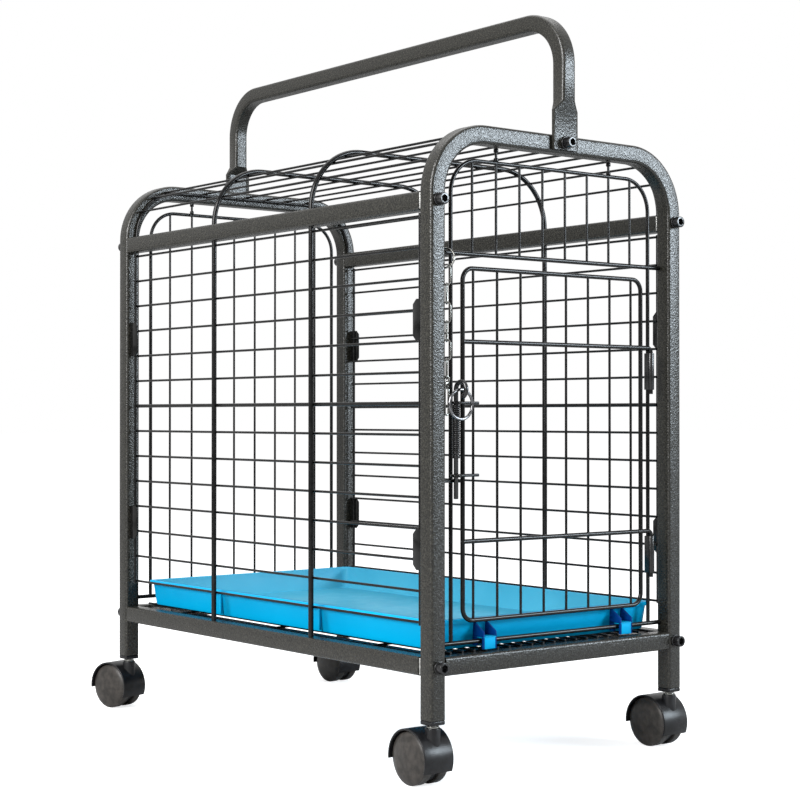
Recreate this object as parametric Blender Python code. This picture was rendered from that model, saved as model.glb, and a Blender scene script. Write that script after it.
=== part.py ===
"""Pet travel crate on castors.

Two arched end frames of square tube, four side rails, wire panels all round, a front door with a
spring latch and a safety chain, a carrying handle, a tray over a wire floor, and four twin-wheel
swivel castors. Metres, +Z up, z = 0 on the ground, the door on the -Y end.
"""

import math

import bmesh
import bpy
from mathutils import Matrix, Vector

NAME = "pet_travel_crate"
GAP = 0.0003  # left between neighbours that touch
WELD = 0.0006  # how far one wire sinks into the wire that it is welded to

# Square-tube frame
FRAME_WIDTH = 0.339
FRAME_LENGTH = 0.589
TUBE = 0.018
TUBE_EDGE = 0.003
FRAME_BEND = 0.060  # centre-line radius of the arched frame's corners
LEG_FOOT_Z = 0.063
FRAME_TOP_Z = 0.626
LOWER_RAIL_Z = 0.1125
UPPER_RAIL_Z = 0.5505
RAIL_STANDOFF = 0.0020  # from a post to the end of a side rail
PLUG_MARGIN = 0.0018  # a plug's side is inside the tube's by this much

# Carrying handle
HANDLE_TUBE = 0.017
HANDLE_TOP_Z = 0.7525
HANDLE_BEND = 0.0475
HANDLE_OVERHANG = 0.0095  # of the handle's outer face past the frame's
HANDLE_LEG_END_Z = 0.660
HANDLE_PLATE_TOP_Z = 0.650
HANDLE_PLATE_END_Z = 0.611
HANDLE_PLATE_WIDTH = 0.033
HANDLE_PLATE_THICKNESS = 0.0037
HANDLE_BOLT_Z = 0.618

# Bolts
BOLT_HEAD_RADIUS = 0.00575
BOLT_HEAD_HEIGHT = 0.0070
HANDLE_BOLT_HEAD_HEIGHT = 0.0082
BOLT_SOCKET_RADIUS = 0.0036
BOLT_SOCKET_DEPTH = 0.0040
SPACER_RADIUS = 0.0065
SPACER_HEIGHT = 0.0018
HANDLE_WASHER_HEIGHT = 0.0012

# Wires
THIN = 0.0013  # radius of the grille wires
WAIST = 0.0020  # radius of the one thicker side wire
STAY = 0.0015  # radius of the upright at each end of a side grille
FRAME_WIRE = 0.0020  # radius of the panels' outline wire
BAR = 0.00225  # radius of the panels' cross bars, the door's outline and its hinge wires
HOOP = 0.00275
END_HOOP = 0.0019

# Side grilles
SIDE_WIRE_INSET = 0.010  # of the side wires from the frame's outer face
SIDE_WIRE_X = FRAME_WIDTH / 2 - SIDE_WIRE_INSET
SIDE_TOP_Z = 0.537
SIDE_PITCH = 0.0296
SIDE_COUNT = 14
WAIST_INDEX = 6
SIDE_STAY_INSET = 0.026
SIDE_STAY_Y = FRAME_LENGTH / 2 - SIDE_STAY_INSET
HOOP_Y = 0.0925

# Roof
ROOF_BEND = 0.060  # radius that the grille's wires lie on over each shoulder
ROOF_BEND_Z = 0.5597
ROOF_FLAT_COUNT = 3  # wires on each side of the middle one
ROOF_FLAT_MARGIN = 0.008  # from the outermost flat wire to the shoulder
ROOF_PITCH = (SIDE_WIRE_X - ROOF_BEND - ROOF_FLAT_MARGIN) / ROOF_FLAT_COUNT
ROOF_SHOULDER_ANGLES = (18.0, 34.5, 58.0)

# End panels
PANEL_INSET = 0.014  # of the panels' plane from the end frame's outer face
PANEL_SIDE_INSET = 0.0352  # of the outline wire from the frame's outer face
PANEL_HALF_WIDTH = FRAME_WIDTH / 2 - PANEL_SIDE_INSET
PANEL_TOP_Z = 0.593
PANEL_BEND = 0.033
PANEL_WIRES = 8
PANEL_MARGIN = 0.0115
PANEL_PITCH = 2 * (PANEL_HALF_WIDTH - PANEL_MARGIN) / PANEL_WIRES
CROSSBAR_Z = 0.5028
BOTTOM_BAR_Z = 0.1315
COLLAR_RADIUS = 0.0026
COLLAR_HEIGHT = 0.0040
BAR_TILT = 0.2  # radians that the panels' bars are turned on themselves, off the uprights' facets

# Door
DOOR_LEFT_X = -(PANEL_HALF_WIDTH - 0.0136)
DOOR_RIGHT_X = PANEL_HALF_WIDTH - 0.0123
DOOR_BOTTOM_Z = 0.152
DOOR_TOP_Z = 0.489
DOOR_BEND = 0.012
PIN_RUN = 0.0002  # running clearance between a hinge pin and the panel's upright
HINGE_Z = (0.4185, 0.228)
PIN_LENGTH = 0.048
PIN_BEND = 0.005
CLIP_HEIGHT = 0.038
CLIP_DROP = 0.0055  # of a clip's top below its hinge wire
CLIP_SHEET = 0.0010

# Latch
LATCH_INSET = 0.0345  # from the frame's outer face
LATCH_X = -(FRAME_WIDTH / 2 - LATCH_INSET)
STAPLE = 0.0015
EYE_CLEARANCE = 0.00035
STAPLE_Z = (0.360, 0.291)
STAPLE_REACH = 0.0171  # past the door's outline, over its first wire
STAPLE_END_X = DOOR_LEFT_X + STAPLE_REACH
BOLT_BOTTOM_Z = 0.269
BOLT_CROOK_Z = 0.3725
BOLT_CURL = 250.0  # degrees that the bolt's top end curls through, round the pull ring
COLLAR_ON_BOLT_Z = 0.309
COLLAR_ON_BOLT_RADIUS = 0.0038
COLLAR_ON_BOLT_HEIGHT = 0.003
SPRING_WIRE = 0.0006
SPRING_TURNS = 12
SPRING_POINTS = 8
KEEPER_Z = 0.286
PULL_RING_RADIUS = 0.0140  # centre line
PULL_RING_WIRE = 0.0015

# Safety chain
CHAIN_INSET = 0.0255  # from the frame's outer face
CHAIN_X = -(FRAME_WIDTH / 2 - CHAIN_INSET)
CHAIN_Y_OFFSET = 0.0058  # of the chain in front of the panels' plane
ANCHOR_RADIUS = 0.0098
ANCHOR_WIRE = 0.0010
LINK_COUNT = 6
LINK_BITE = 0.0004  # of each link into the next, as the chain is one body
LINK_WIRE = 0.0009
LINK_LENGTH = 0.0192  # centre line
LINK_WIDTH = 0.0072
HOOK_WIRE = 0.0010
HOOK_EYE = 0.0030
HOOK_WIDTH = 0.0044
HOOK_DROP = 0.0305  # from the eye to the bottom of the hook
GATE_LENGTH = 0.0180

# Lock tabs
TAB_THICKNESS = 0.0015
TAB_WIDTH = 0.0157
TAB_CHAMFER = 0.005
TAB_Z = ((0.4185, 0.4585), (0.202, 0.241))

# Floor and tray
FLOOR_WIRE = 0.0012
FLOOR_COUNT = 19
FLOOR_MARGIN = 0.0345  # from the frame's outer face to the first floor wire
FLOOR_PITCH = (FRAME_WIDTH - 2 * FLOOR_MARGIN) / (FLOOR_COUNT - 1)
FLOOR_OVERLAP = 0.0055  # of a floor wire over each cross rail
FLOOR_TIES = (-0.18, 0.0, 0.18)
TRAY_SIDE_INSET = 0.022
TRAY_FRONT_INSET = 0.020
TRAY_REAR_INSET = 0.0305
TRAY_HALF_WIDTH = FRAME_WIDTH / 2 - TRAY_SIDE_INSET
TRAY_FRONT_Y = -(FRAME_LENGTH / 2 - TRAY_FRONT_INSET)
TRAY_REAR_Y = FRAME_LENGTH / 2 - TRAY_REAR_INSET
TRAY_TOP_Z = 0.153
TRAY_LIP = 0.0030
TRAY_LIP_HEIGHT = 0.0040
TRAY_WALL = 0.0022
TRAY_FLOOR = 0.0024
TRAY_DRAFT = 0.0035
TRAY_CORNER = 0.014
CLIP_ON_TRAY_X = (-0.0895, 0.0965)
CLIP_ON_TRAY_WIDTH = 0.017
CLIP_ON_TRAY_REACH = 0.0035  # of the hook in front of the bottom bar

# Castors
WHEEL_RADIUS = 0.0255
WHEEL_INNER_X = 0.0047
WHEEL_OUTER_X = 0.0180
WHEEL_CROWN = 0.0040  # of the outer disc past the tread
CASTOR_TRAIL = 0.018
HOOD_RADIUS = 0.0285
HOOD_WIDTH = 0.0345
HOOD_CLEARANCE = 0.0010  # round the wheels
HOOD_FRONT_ANGLE = 203.0
HOOD_REAR_ANGLE = -6.0
BOSS_RADIUS = 0.0073
BOSS_TOP_Z = 0.0555
BOSS_BOTTOM_Z = 0.030
STEM_RADIUS = 0.004
STEM_DEPTH = 0.012
LEG_PLUG_HEIGHT = 0.0047
AXLE_RADIUS = 0.003
AXLE_HALF_LENGTH = 0.0145
ROUND = 20
CASTOR_TURN = {"front_left": 0.0, "front_right": 0.0, "rear_left": 15.0, "rear_right": 2.0}

# Sizes that follow from the ones above
HALF_TUBE = TUBE / 2
POST_X = FRAME_WIDTH / 2 - HALF_TUBE
POST_Y = FRAME_LENGTH / 2 - HALF_TUBE
INNER_X = POST_X - HALF_TUBE
INNER_Y = POST_Y - HALF_TUBE
OUTER_Y = FRAME_LENGTH / 2
ROOF_BEND_X = SIDE_WIRE_X - ROOF_BEND
ROOF_TOP_Z = ROOF_BEND_Z + ROOF_BEND
HOOP_BEND = ROOF_BEND + THIN + HOOP - WELD
END_HOOP_BEND = ROOF_BEND - THIN - END_HOOP + WELD
PANEL_Y = OUTER_Y - PANEL_INSET
HINGE_Y = -(PANEL_Y + FRAME_WIRE + BAR + PIN_RUN)
HINGE_X = PANEL_HALF_WIDTH
DOOR_Y = HINGE_Y + THIN + BAR - WELD
STAPLE_Y = DOOR_Y - BAR - STAPLE + WELD
EYE_RADIUS = BAR + EYE_CLEARANCE + STAPLE
LATCH_Y = STAPLE_Y - EYE_RADIUS
CROOK_RADIUS = EYE_RADIUS + STAPLE + GAP + PULL_RING_WIRE  # clears the upper staple's eye as it rises
PULL_RING_Y = LATCH_Y - CROOK_RADIUS
CHAIN_Y = -(PANEL_Y + CHAIN_Y_OFFSET)
RAIL_TOP_Z = LOWER_RAIL_Z + HALF_TUBE
UPPER_RAIL_TOP_Z = UPPER_RAIL_Z + HALF_TUBE
FLOOR_Z = RAIL_TOP_Z + GAP + FLOOR_WIRE
TRAY_BOTTOM_Z = FLOOR_Z + FLOOR_WIRE + GAP

# Turns an outline drawn in XY so that it lies in the YZ plane
UPRIGHT = Matrix(((0, 0, 1, 0), (1, 0, 0, 0), (0, 1, 0, 0), (0, 0, 0, 1)))

PARTS = None
GUIDES = None
MATERIALS = {}


def clear_scene():
    for obj in list(bpy.data.objects):
        bpy.data.objects.remove(obj, do_unlink=True)


def new_collection(name):
    collection = bpy.data.collections.new(name)
    bpy.context.scene.collection.children.link(collection)
    return collection


def material(name, colour, metallic, roughness):
    made = bpy.data.materials.new(name)
    made.use_nodes = True
    shader = made.node_tree.nodes["Principled BSDF"]
    shader.inputs["Base Color"].default_value = (*colour, 1.0)
    shader.inputs["Metallic"].default_value = metallic
    shader.inputs["Roughness"].default_value = roughness
    MATERIALS[name] = made


def make_materials():
    material("hammered_paint", (0.075, 0.075, 0.072), 0.55, 0.42)
    material("wire_paint", (0.018, 0.018, 0.018), 0.3, 0.3)
    material("black_steel", (0.012, 0.012, 0.013), 0.6, 0.35)
    material("bright_steel", (0.62, 0.62, 0.60), 1.0, 0.25)
    material("black_nylon", (0.014, 0.014, 0.015), 0.0, 0.45)
    material("blue_plastic", (0.0, 0.30, 0.62), 0.0, 0.35)


def add_part(name, mesh, material_name, origin=(0.0, 0.0, 0.0), parent=None):
    """Links a mesh in world places as an object whose origin is at the given point."""
    mesh.transform(Matrix.Translation(-Vector(origin)))
    mesh.name = name
    mesh.materials.clear()
    mesh.materials.append(MATERIALS[material_name])
    mesh.shade_smooth()
    mesh.set_sharp_from_angle(angle=math.radians(35))
    obj = bpy.data.objects.new(name, mesh)
    obj.location = origin
    obj.parent = parent
    PARTS.objects.link(obj)
    return obj


def mesh_of(bm):
    """The mesh of a closed bmesh, with its faces turned outwards."""
    bmesh.ops.recalc_face_normals(bm, faces=bm.faces)
    mesh = bpy.data.meshes.new("solid")
    bm.to_mesh(mesh)
    bm.free()
    return mesh


def moved(mesh, matrix):
    copy = mesh.copy()
    copy.transform(matrix)
    if matrix.determinant() < 0:
        copy.flip_normals()
    return copy


def boolean(base, others, operation):
    """Unites other meshes with a base, or cuts them from it."""
    tools = bpy.data.collections.new("tools")
    GUIDES.children.link(tools)
    for mesh in others:
        tool = bpy.data.objects.new("tool", mesh)
        tool.display_type = "WIRE"
        tool.hide_render = True
        tools.objects.link(tool)
    body = bpy.data.objects.new("body", base)
    GUIDES.objects.link(body)
    modifier = body.modifiers.new("boolean", "BOOLEAN")
    modifier.operation = operation
    modifier.solver = "EXACT"
    modifier.operand_type = "COLLECTION"
    modifier.collection = tools
    evaluated = body.evaluated_get(bpy.context.evaluated_depsgraph_get())
    result = bpy.data.meshes.new_from_object(evaluated)
    for obj in list(tools.objects) + [body]:
        bpy.data.objects.remove(obj, do_unlink=True)
    bpy.data.collections.remove(tools)
    return result


def united(pieces):
    """One welded body from pieces that each sink a little into their neighbours."""
    return boolean(pieces[0], pieces[1:], "UNION")


def filleted(corners, radius, steps=6, closed=False):
    """A path through the corners, each one rounded to the radius."""
    corners = [Vector(corner) for corner in corners]
    count = len(corners)
    path = [] if closed else [corners[0]]
    for i in range(count) if closed else range(1, count - 1):
        corner = corners[i]
        back = (corners[i - 1] - corner).normalized()
        ahead = (corners[(i + 1) % count] - corner).normalized()
        angle = back.angle(ahead)
        centre = corner + (back + ahead).normalized() * (radius / math.sin(angle / 2))
        first = corner + back * (radius / math.tan(angle / 2)) - centre
        last = corner + ahead * (radius / math.tan(angle / 2)) - centre
        sweep = math.pi - angle
        for step in range(steps + 1):
            share = step / steps
            here = first * math.sin((1 - share) * sweep) + last * math.sin(share * sweep)
            path.append(centre + here / math.sin(sweep))
    if not closed:
        path.append(corners[-1])
    return path


def wire(path, radius, detail=1, closed=False, tilt=0.0):
    """A round wire along a path, with its end caps welded on."""
    curve = bpy.data.curves.new("wire", "CURVE")
    curve.dimensions = "3D"
    curve.bevel_depth = radius
    curve.bevel_resolution = detail
    curve.use_fill_caps = True
    curve.twist_mode = "MINIMUM"
    spline = curve.splines.new("POLY")
    spline.points.add(len(path) - 1)
    for point, place in zip(spline.points, path):
        point.co = (*place, 1.0)
        point.tilt = tilt
    spline.use_cyclic_u = closed
    obj = bpy.data.objects.new("wire", curve)
    GUIDES.objects.link(obj)
    evaluated = obj.evaluated_get(bpy.context.evaluated_depsgraph_get())
    mesh = bpy.data.meshes.new_from_object(evaluated)
    bpy.data.objects.remove(obj, do_unlink=True)
    bm = bmesh.new()
    bm.from_mesh(mesh)
    bmesh.ops.remove_doubles(bm, verts=bm.verts, dist=0.000001)
    return mesh_of(bm)


def ring(centre, radius, wire_radius, along, across, points=20, detail=1):
    """A closed wire ring in the plane of two directions."""
    centre = Vector(centre)
    along = Vector(along).normalized()
    across = (Vector(across) - along * Vector(across).dot(along)).normalized()
    path = []
    for i in range(points):
        angle = 2 * math.pi * i / points
        path.append(centre + (along * math.cos(angle) + across * math.sin(angle)) * radius)
    return wire(path, wire_radius, detail, closed=True)


def cylinder(centre, radius, height, sides, direction=(0, 0, 1)):
    turn = Vector((0, 0, 1)).rotation_difference(Vector(direction)).to_matrix().to_4x4()
    bm = bmesh.new()
    bmesh.ops.create_cone(bm, cap_ends=True, segments=sides, radius1=radius, radius2=radius,
                          depth=height, matrix=Matrix.Translation(Vector(centre)) @ turn)
    return mesh_of(bm)


def box(low, high):
    low = Vector(low)
    high = Vector(high)
    size = Matrix.Diagonal((*(high - low), 1.0))
    bm = bmesh.new()
    bmesh.ops.create_cube(bm, size=1.0, matrix=Matrix.Translation((low + high) / 2) @ size)
    return mesh_of(bm)


def outline_solid(outlines, thickness):
    """A flat outline in XY, with any holes after it, given a thickness about z = 0."""
    curve = bpy.data.curves.new("outline", "CURVE")
    curve.dimensions = "2D"
    curve.fill_mode = "BOTH"
    curve.extrude = thickness / 2
    for outline in outlines:
        spline = curve.splines.new("POLY")
        spline.points.add(len(outline) - 1)
        for point, place in zip(spline.points, outline):
            point.co = (place[0], place[1], 0.0, 1.0)
        spline.use_cyclic_u = True
    obj = bpy.data.objects.new("outline", curve)
    GUIDES.objects.link(obj)
    evaluated = obj.evaluated_get(bpy.context.evaluated_depsgraph_get())
    mesh = bpy.data.meshes.new_from_object(evaluated)
    bpy.data.objects.remove(obj, do_unlink=True)
    bm = bmesh.new()
    bm.from_mesh(mesh)
    bmesh.ops.remove_doubles(bm, verts=bm.verts, dist=0.000001)
    return mesh_of(bm)


def rounded_outline(half_x, half_y, radius, steps):
    corners = [(half_x, half_y, 0), (-half_x, half_y, 0), (-half_x, -half_y, 0), (half_x, -half_y, 0)]
    return filleted(corners, radius, steps, closed=True)


def start_tube(bm, side, centre):
    """The first section of a square tube, lying flat."""
    outline = rounded_outline(side / 2, side / 2, TUBE_EDGE, 2)
    return bm.faces.new([bm.verts.new(Vector(centre) + point) for point in outline])


def grow(bm, face, matrix):
    """Extrudes a tube's end section and puts the new one in its place."""
    inside = all(len(edge.link_faces) > 1 for edge in face.edges)
    grown = bmesh.ops.extrude_face_region(bm, geom=[face])["geom"]
    bmesh.ops.transform(bm, matrix=matrix, verts=[v for v in grown if isinstance(v, bmesh.types.BMVert)])
    if inside:
        bmesh.ops.delete(bm, geom=[face], context="FACES_ONLY")
    return next(f for f in grown if isinstance(f, bmesh.types.BMFace))


def bend(bm, face, centre, axis, degrees, steps=8):
    """Takes a tube's end section round a bend."""
    to_centre = Matrix.Translation(Vector(centre))
    turn = to_centre @ Matrix.Rotation(math.radians(degrees) / steps, 4, axis) @ to_centre.inverted()
    for _ in range(steps):
        face = grow(bm, face, turn)
    return face


def end_frame(name, side):
    """An arched end frame: two legs and the bend over the top, in one tube."""
    y = side * POST_Y
    bend_x = POST_X - FRAME_BEND
    bend_z = FRAME_TOP_Z - HALF_TUBE - FRAME_BEND
    bm = bmesh.new()
    face = start_tube(bm, TUBE, (-POST_X, y, LEG_FOOT_Z))
    face = grow(bm, face, Matrix.Translation((0, 0, bend_z - LEG_FOOT_Z)))
    face = bend(bm, face, (-bend_x, y, bend_z), "Y", 90)
    face = grow(bm, face, Matrix.Translation((2 * bend_x, 0, 0)))
    face = bend(bm, face, (bend_x, y, bend_z), "Y", 90)
    grow(bm, face, Matrix.Translation((0, 0, LEG_FOOT_Z - bend_z)))
    add_part(name, mesh_of(bm), "hammered_paint")


def straight_tube(start, direction, length):
    """A straight square tube from a point, along X or Y."""
    bm = bmesh.new()
    face = start_tube(bm, TUBE, (0, 0, 0))
    grow(bm, face, Matrix.Translation((0, 0, length)))
    turn = Vector((0, 0, 1)).rotation_difference(Vector(direction)).to_matrix().to_4x4()
    mesh = mesh_of(bm)
    mesh.transform(Matrix.Translation(Vector(start)) @ turn)
    return mesh


def make_rails():
    reach = INNER_Y - RAIL_STANDOFF
    plug_reach = INNER_Y - GAP
    half = HALF_TUBE - PLUG_MARGIN
    for side, hand in ((-1, "left"), (1, "right")):
        x = side * POST_X
        for level, z in (("upper", UPPER_RAIL_Z), ("lower", LOWER_RAIL_Z)):
            tube = straight_tube((x, -reach, z), (0, 1, 0), 2 * reach)
            plug = box((x - half, -plug_reach, z - half), (x + half, plug_reach, z + half))
            add_part(f"side_rail_{level}_{hand}", united([tube, plug]), "hammered_paint")
    reach = INNER_X - GAP
    for side, end in ((-1, "front"), (1, "rear")):
        mesh = straight_tube((-reach, side * POST_Y, LOWER_RAIL_Z), (1, 0, 0), 2 * reach)
        add_part(f"{end}_cross_rail", mesh, "hammered_paint")


def make_handle():
    """The carrying handle: a tube whose ends are pressed flat against the end frames."""
    half = HANDLE_TUBE / 2
    leg_y = OUTER_Y + HANDLE_OVERHANG - half
    bend_y = leg_y - HANDLE_BEND
    bend_z = HANDLE_TOP_Z - half - HANDLE_BEND
    plate_y = OUTER_Y + GAP + HANDLE_PLATE_THICKNESS / 2
    flat = Matrix.Diagonal((HANDLE_PLATE_WIDTH / HANDLE_TUBE, HANDLE_PLATE_THICKNESS / HANDLE_TUBE, 1, 1))
    bm = bmesh.new()
    low = Matrix.Translation((0, -plate_y, HANDLE_PLATE_END_Z)) @ flat
    face = start_tube(bm, HANDLE_TUBE, (0, 0, 0))
    bmesh.ops.transform(bm, matrix=low, verts=face.verts)
    face = grow(bm, face, Matrix.Translation((0, 0, HANDLE_PLATE_TOP_Z - HANDLE_PLATE_END_Z)))
    high = Matrix.Translation((0, -plate_y, HANDLE_PLATE_TOP_Z)) @ flat
    open_out = Matrix.Translation((0, -leg_y, HANDLE_LEG_END_Z)) @ high.inverted()
    face = grow(bm, face, open_out)
    face = grow(bm, face, Matrix.Translation((0, 0, bend_z - HANDLE_LEG_END_Z)))
    face = bend(bm, face, (0, -bend_y, bend_z), "X", -90)
    face = grow(bm, face, Matrix.Translation((0, 2 * bend_y, 0)))
    face = bend(bm, face, (0, bend_y, bend_z), "X", -90)
    face = grow(bm, face, Matrix.Translation((0, 0, HANDLE_LEG_END_Z - bend_z)))
    to_rear = Matrix.Diagonal((1, -1, 1, 1))
    press_flat = to_rear @ open_out.inverted() @ to_rear.inverted()
    face = grow(bm, face, press_flat)
    grow(bm, face, Matrix.Translation((0, 0, HANDLE_PLATE_END_Z - HANDLE_PLATE_TOP_Z)))
    add_part("handle", mesh_of(bm), "hammered_paint")


def cap_screw(collar_radius, collar_height, head_height):
    """A cap screw on its collar, standing on z = 0, with a hex socket in the head."""
    head_z = collar_height + head_height / 2
    sink = WELD
    collar = cylinder((0, 0, collar_height / 2), collar_radius, collar_height, 16)
    head = cylinder((0, 0, head_z - sink / 2), BOLT_HEAD_RADIUS, head_height + sink, 16)
    top_z = collar_height + head_height
    socket = cylinder((0, 0, top_z), BOLT_SOCKET_RADIUS, 2 * BOLT_SOCKET_DEPTH, 6)
    return boolean(boolean(collar, [head], "UNION"), [socket], "DIFFERENCE")


def make_bolts():
    frame_screw = cap_screw(SPACER_RADIUS, SPACER_HEIGHT, BOLT_HEAD_HEIGHT)
    handle_screw = cap_screw(BOLT_HEAD_RADIUS + 0.0012, HANDLE_WASHER_HEIGHT, HANDLE_BOLT_HEAD_HEIGHT)
    plate_y = OUTER_Y + GAP + HANDLE_PLATE_THICKNESS + GAP
    for side, end in ((-1, "front"), (1, "rear")):
        turn = Matrix.Rotation(math.radians(90) * -side, 4, "X")
        for x, hand in ((-POST_X, "left"), (POST_X, "right")):
            for z, level in ((LOWER_RAIL_Z, "lower"), (UPPER_RAIL_Z, "upper")):
                place = Matrix.Translation((x, side * (OUTER_Y + GAP), z)) @ turn
                add_part(f"bolt_{end}_{level}_{hand}", moved(frame_screw, place), "black_steel")
        place = Matrix.Translation((0, side * plate_y, HANDLE_BOLT_Z)) @ turn
        add_part(f"handle_bolt_{end}", moved(handle_screw, place), "black_steel")


def lock_tabs(x, end):
    """The two flat tabs beside a post."""
    tabs = []
    for low, high in TAB_Z:
        height = high - low
        outline = [(0, 0), (TAB_WIDTH - TAB_CHAMFER, 0), (TAB_WIDTH, TAB_CHAMFER),
                   (TAB_WIDTH, height - TAB_CHAMFER), (TAB_WIDTH - TAB_CHAMFER, height), (0, height)]
        place = Matrix.Diagonal((1, -end, 1, 1)) @ Matrix.Translation((x, -(INNER_Y - GAP), low)) @ UPRIGHT
        tabs.append(moved(outline_solid([outline], TAB_THICKNESS), place))
    return tabs


def make_side_grilles():
    reach = SIDE_STAY_Y + STAY
    low_z = RAIL_TOP_Z + GAP
    high_z = UPPER_RAIL_Z - HALF_TUBE - GAP
    last_z = SIDE_TOP_Z - SIDE_PITCH * (SIDE_COUNT - 1)
    for side, hand in ((-1, "left"), (1, "right")):
        wires = []
        for i in range(SIDE_COUNT):
            z = SIDE_TOP_Z - SIDE_PITCH * i
            radius = WAIST if i == WAIST_INDEX else THIN
            x = side * (SIDE_WIRE_X + THIN - radius)
            wires.append(wire([(x, -reach, z), (x, reach, z)], radius))
        for end in (-1, 1):
            x = side * (SIDE_WIRE_X + THIN + STAY - WELD)
            y = end * SIDE_STAY_Y
            wires.append(wire([(x, y, last_z - 2 * THIN), (x, y, SIDE_TOP_Z + 2 * THIN)], STAY))
            wires += lock_tabs(x + side * (STAY + TAB_THICKNESS / 2 - WELD), end)
            x = side * (SIDE_WIRE_X + THIN + HOOP - WELD)
            wires.append(wire([(x, end * HOOP_Y, low_z), (x, end * HOOP_Y, high_z)], HOOP, 2))
        add_part(f"side_grille_{hand}", united(wires), "wire_paint")


def make_roof():
    """The roof's long wires, welded to two thick hoops outside and a thin one at each end inside."""
    places = [(ROOF_PITCH * i, ROOF_TOP_Z) for i in range(-ROOF_FLAT_COUNT, ROOF_FLAT_COUNT + 1)]
    for angle in ROOF_SHOULDER_ANGLES:
        x = ROOF_BEND_X + ROOF_BEND * math.sin(math.radians(angle))
        z = ROOF_BEND_Z + ROOF_BEND * math.cos(math.radians(angle))
        places += [(-x, z), (x, z)]
    reach = INNER_Y - GAP
    wires = [wire([(x, -reach, z), (x, reach, z)], THIN) for x, z in places]
    for side in (-1, 1):
        wires.append(arch(side * HOOP_Y, HOOP_BEND, HOOP, 2))
        wires.append(arch(side * (reach - END_HOOP), END_HOOP_BEND, END_HOOP, 1))
    add_part("roof_grille", united(wires), "wire_paint")


def arch(y, radius, wire_radius, detail):
    """A wire arch that stands on the upper side rails, its corners round the roof's shoulders."""
    x = ROOF_BEND_X + radius
    top = ROOF_BEND_Z + radius
    foot = UPPER_RAIL_TOP_Z + GAP
    corners = [(-x, y, foot), (-x, y, top), (x, y, top), (x, y, foot)]
    return wire(filleted(corners, min(radius, top - foot) - 0.00001, 9), wire_radius, detail)


def panel_wire_places():
    return [PANEL_PITCH * (i - (PANEL_WIRES - 1) / 2) for i in range(PANEL_WIRES)]


def panel(y, bars, foot_z):
    """An end panel: outline wire, cross bars, uprights, and two uprights that go on up as hangers."""
    x = PANEL_HALF_WIDTH
    reach = INNER_X - GAP
    hanger_top = FRAME_TOP_Z - TUBE - GAP
    corners = [(-x, y, BOTTOM_BAR_Z), (-x, y, PANEL_TOP_Z), (x, y, PANEL_TOP_Z), (x, y, BOTTOM_BAR_Z)]
    pieces = [wire(filleted(corners, PANEL_BEND, 5), FRAME_WIRE)]
    pieces += [wire([(-reach, y, z), (reach, y, z)], BAR, tilt=BAR_TILT) for z in bars]
    places = panel_wire_places()
    for x in places:
        if x in (places[1], places[-2]):
            pieces.append(wire([(x, y, foot_z - WELD), (x, y, hanger_top)], THIN))
            for z in (PANEL_TOP_Z + FRAME_WIRE + COLLAR_HEIGHT / 4, hanger_top - COLLAR_HEIGHT / 2 - GAP):
                pieces.append(cylinder((x, y, z), COLLAR_RADIUS, COLLAR_HEIGHT, 8))
        else:
            pieces.append(wire([(x, y, foot_z - WELD), (x, y, PANEL_TOP_Z + WELD)], THIN))
    return united(pieces)


def make_panels():
    add_part("front_panel", panel(-PANEL_Y, (BOTTOM_BAR_Z, CROSSBAR_Z), CROSSBAR_Z), "wire_paint")
    add_part("rear_panel", panel(PANEL_Y, (BOTTOM_BAR_Z,), BOTTOM_BAR_Z), "wire_paint")


def staple(z):
    """A staple across the door's edge with an open eye round the latch bolt."""
    path = [Vector((STAPLE_END_X, STAPLE_Y, z)), Vector((LATCH_X + EYE_RADIUS, STAPLE_Y, z))]
    for i in range(13):
        angle = math.radians(90 + 270 * i / 12)
        path.append(Vector((LATCH_X + EYE_RADIUS * math.cos(angle), LATCH_Y + EYE_RADIUS * math.sin(angle), z)))
    return wire(path, STAPLE)


def make_door():
    low, high = DOOR_BOTTOM_Z, DOOR_TOP_Z
    corners = [(DOOR_LEFT_X, DOOR_Y, low), (DOOR_LEFT_X, DOOR_Y, high),
               (DOOR_RIGHT_X, DOOR_Y, high), (DOOR_RIGHT_X, DOOR_Y, low)]
    outline = wire(filleted(corners, DOOR_BEND, 4, closed=True), BAR, closed=True)
    pieces = [wire([(x, DOOR_Y, low), (x, DOOR_Y, high)], THIN) for x in panel_wire_places()]
    for z in HINGE_Z:
        corners = [(DOOR_LEFT_X - BAR, HINGE_Y, z), (HINGE_X, HINGE_Y, z), (HINGE_X, HINGE_Y, z - PIN_LENGTH)]
        pieces.append(wire(filleted(corners, PIN_BEND, 4), BAR))
    pieces += [staple(z) for z in STAPLE_Z]
    mesh = boolean(outline, pieces, "UNION")
    add_part("door", mesh, "wire_paint", origin=(HINGE_X, HINGE_Y, (low + high) / 2))


def capsule(length, radius, steps=5):
    """A stadium outline along Y, from (0, 0) to (0, -length)."""
    points = []
    for i in range(steps + 1):
        angle = math.pi * i / steps
        points.append((radius * math.cos(angle), radius * math.sin(angle)))
    for i in range(steps + 1):
        angle = math.pi + math.pi * i / steps
        points.append((radius * math.cos(angle), radius * math.sin(angle) - length))
    return points


def make_hinge_clips():
    """Rolled sheet sleeves that hold each hinge pin against the panel's upright."""
    inner = BAR + GAP
    spread = -PANEL_Y - HINGE_Y
    sleeve = outline_solid([capsule(spread, inner + CLIP_SHEET), capsule(spread, inner)], CLIP_HEIGHT)
    for z, level in zip(HINGE_Z, ("upper", "lower")):
        middle = z - CLIP_DROP - CLIP_HEIGHT / 2
        place = Matrix.Translation((HINGE_X, -PANEL_Y, middle))
        add_part(f"hinge_clip_{level}", moved(sleeve, place), "black_steel")


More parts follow.
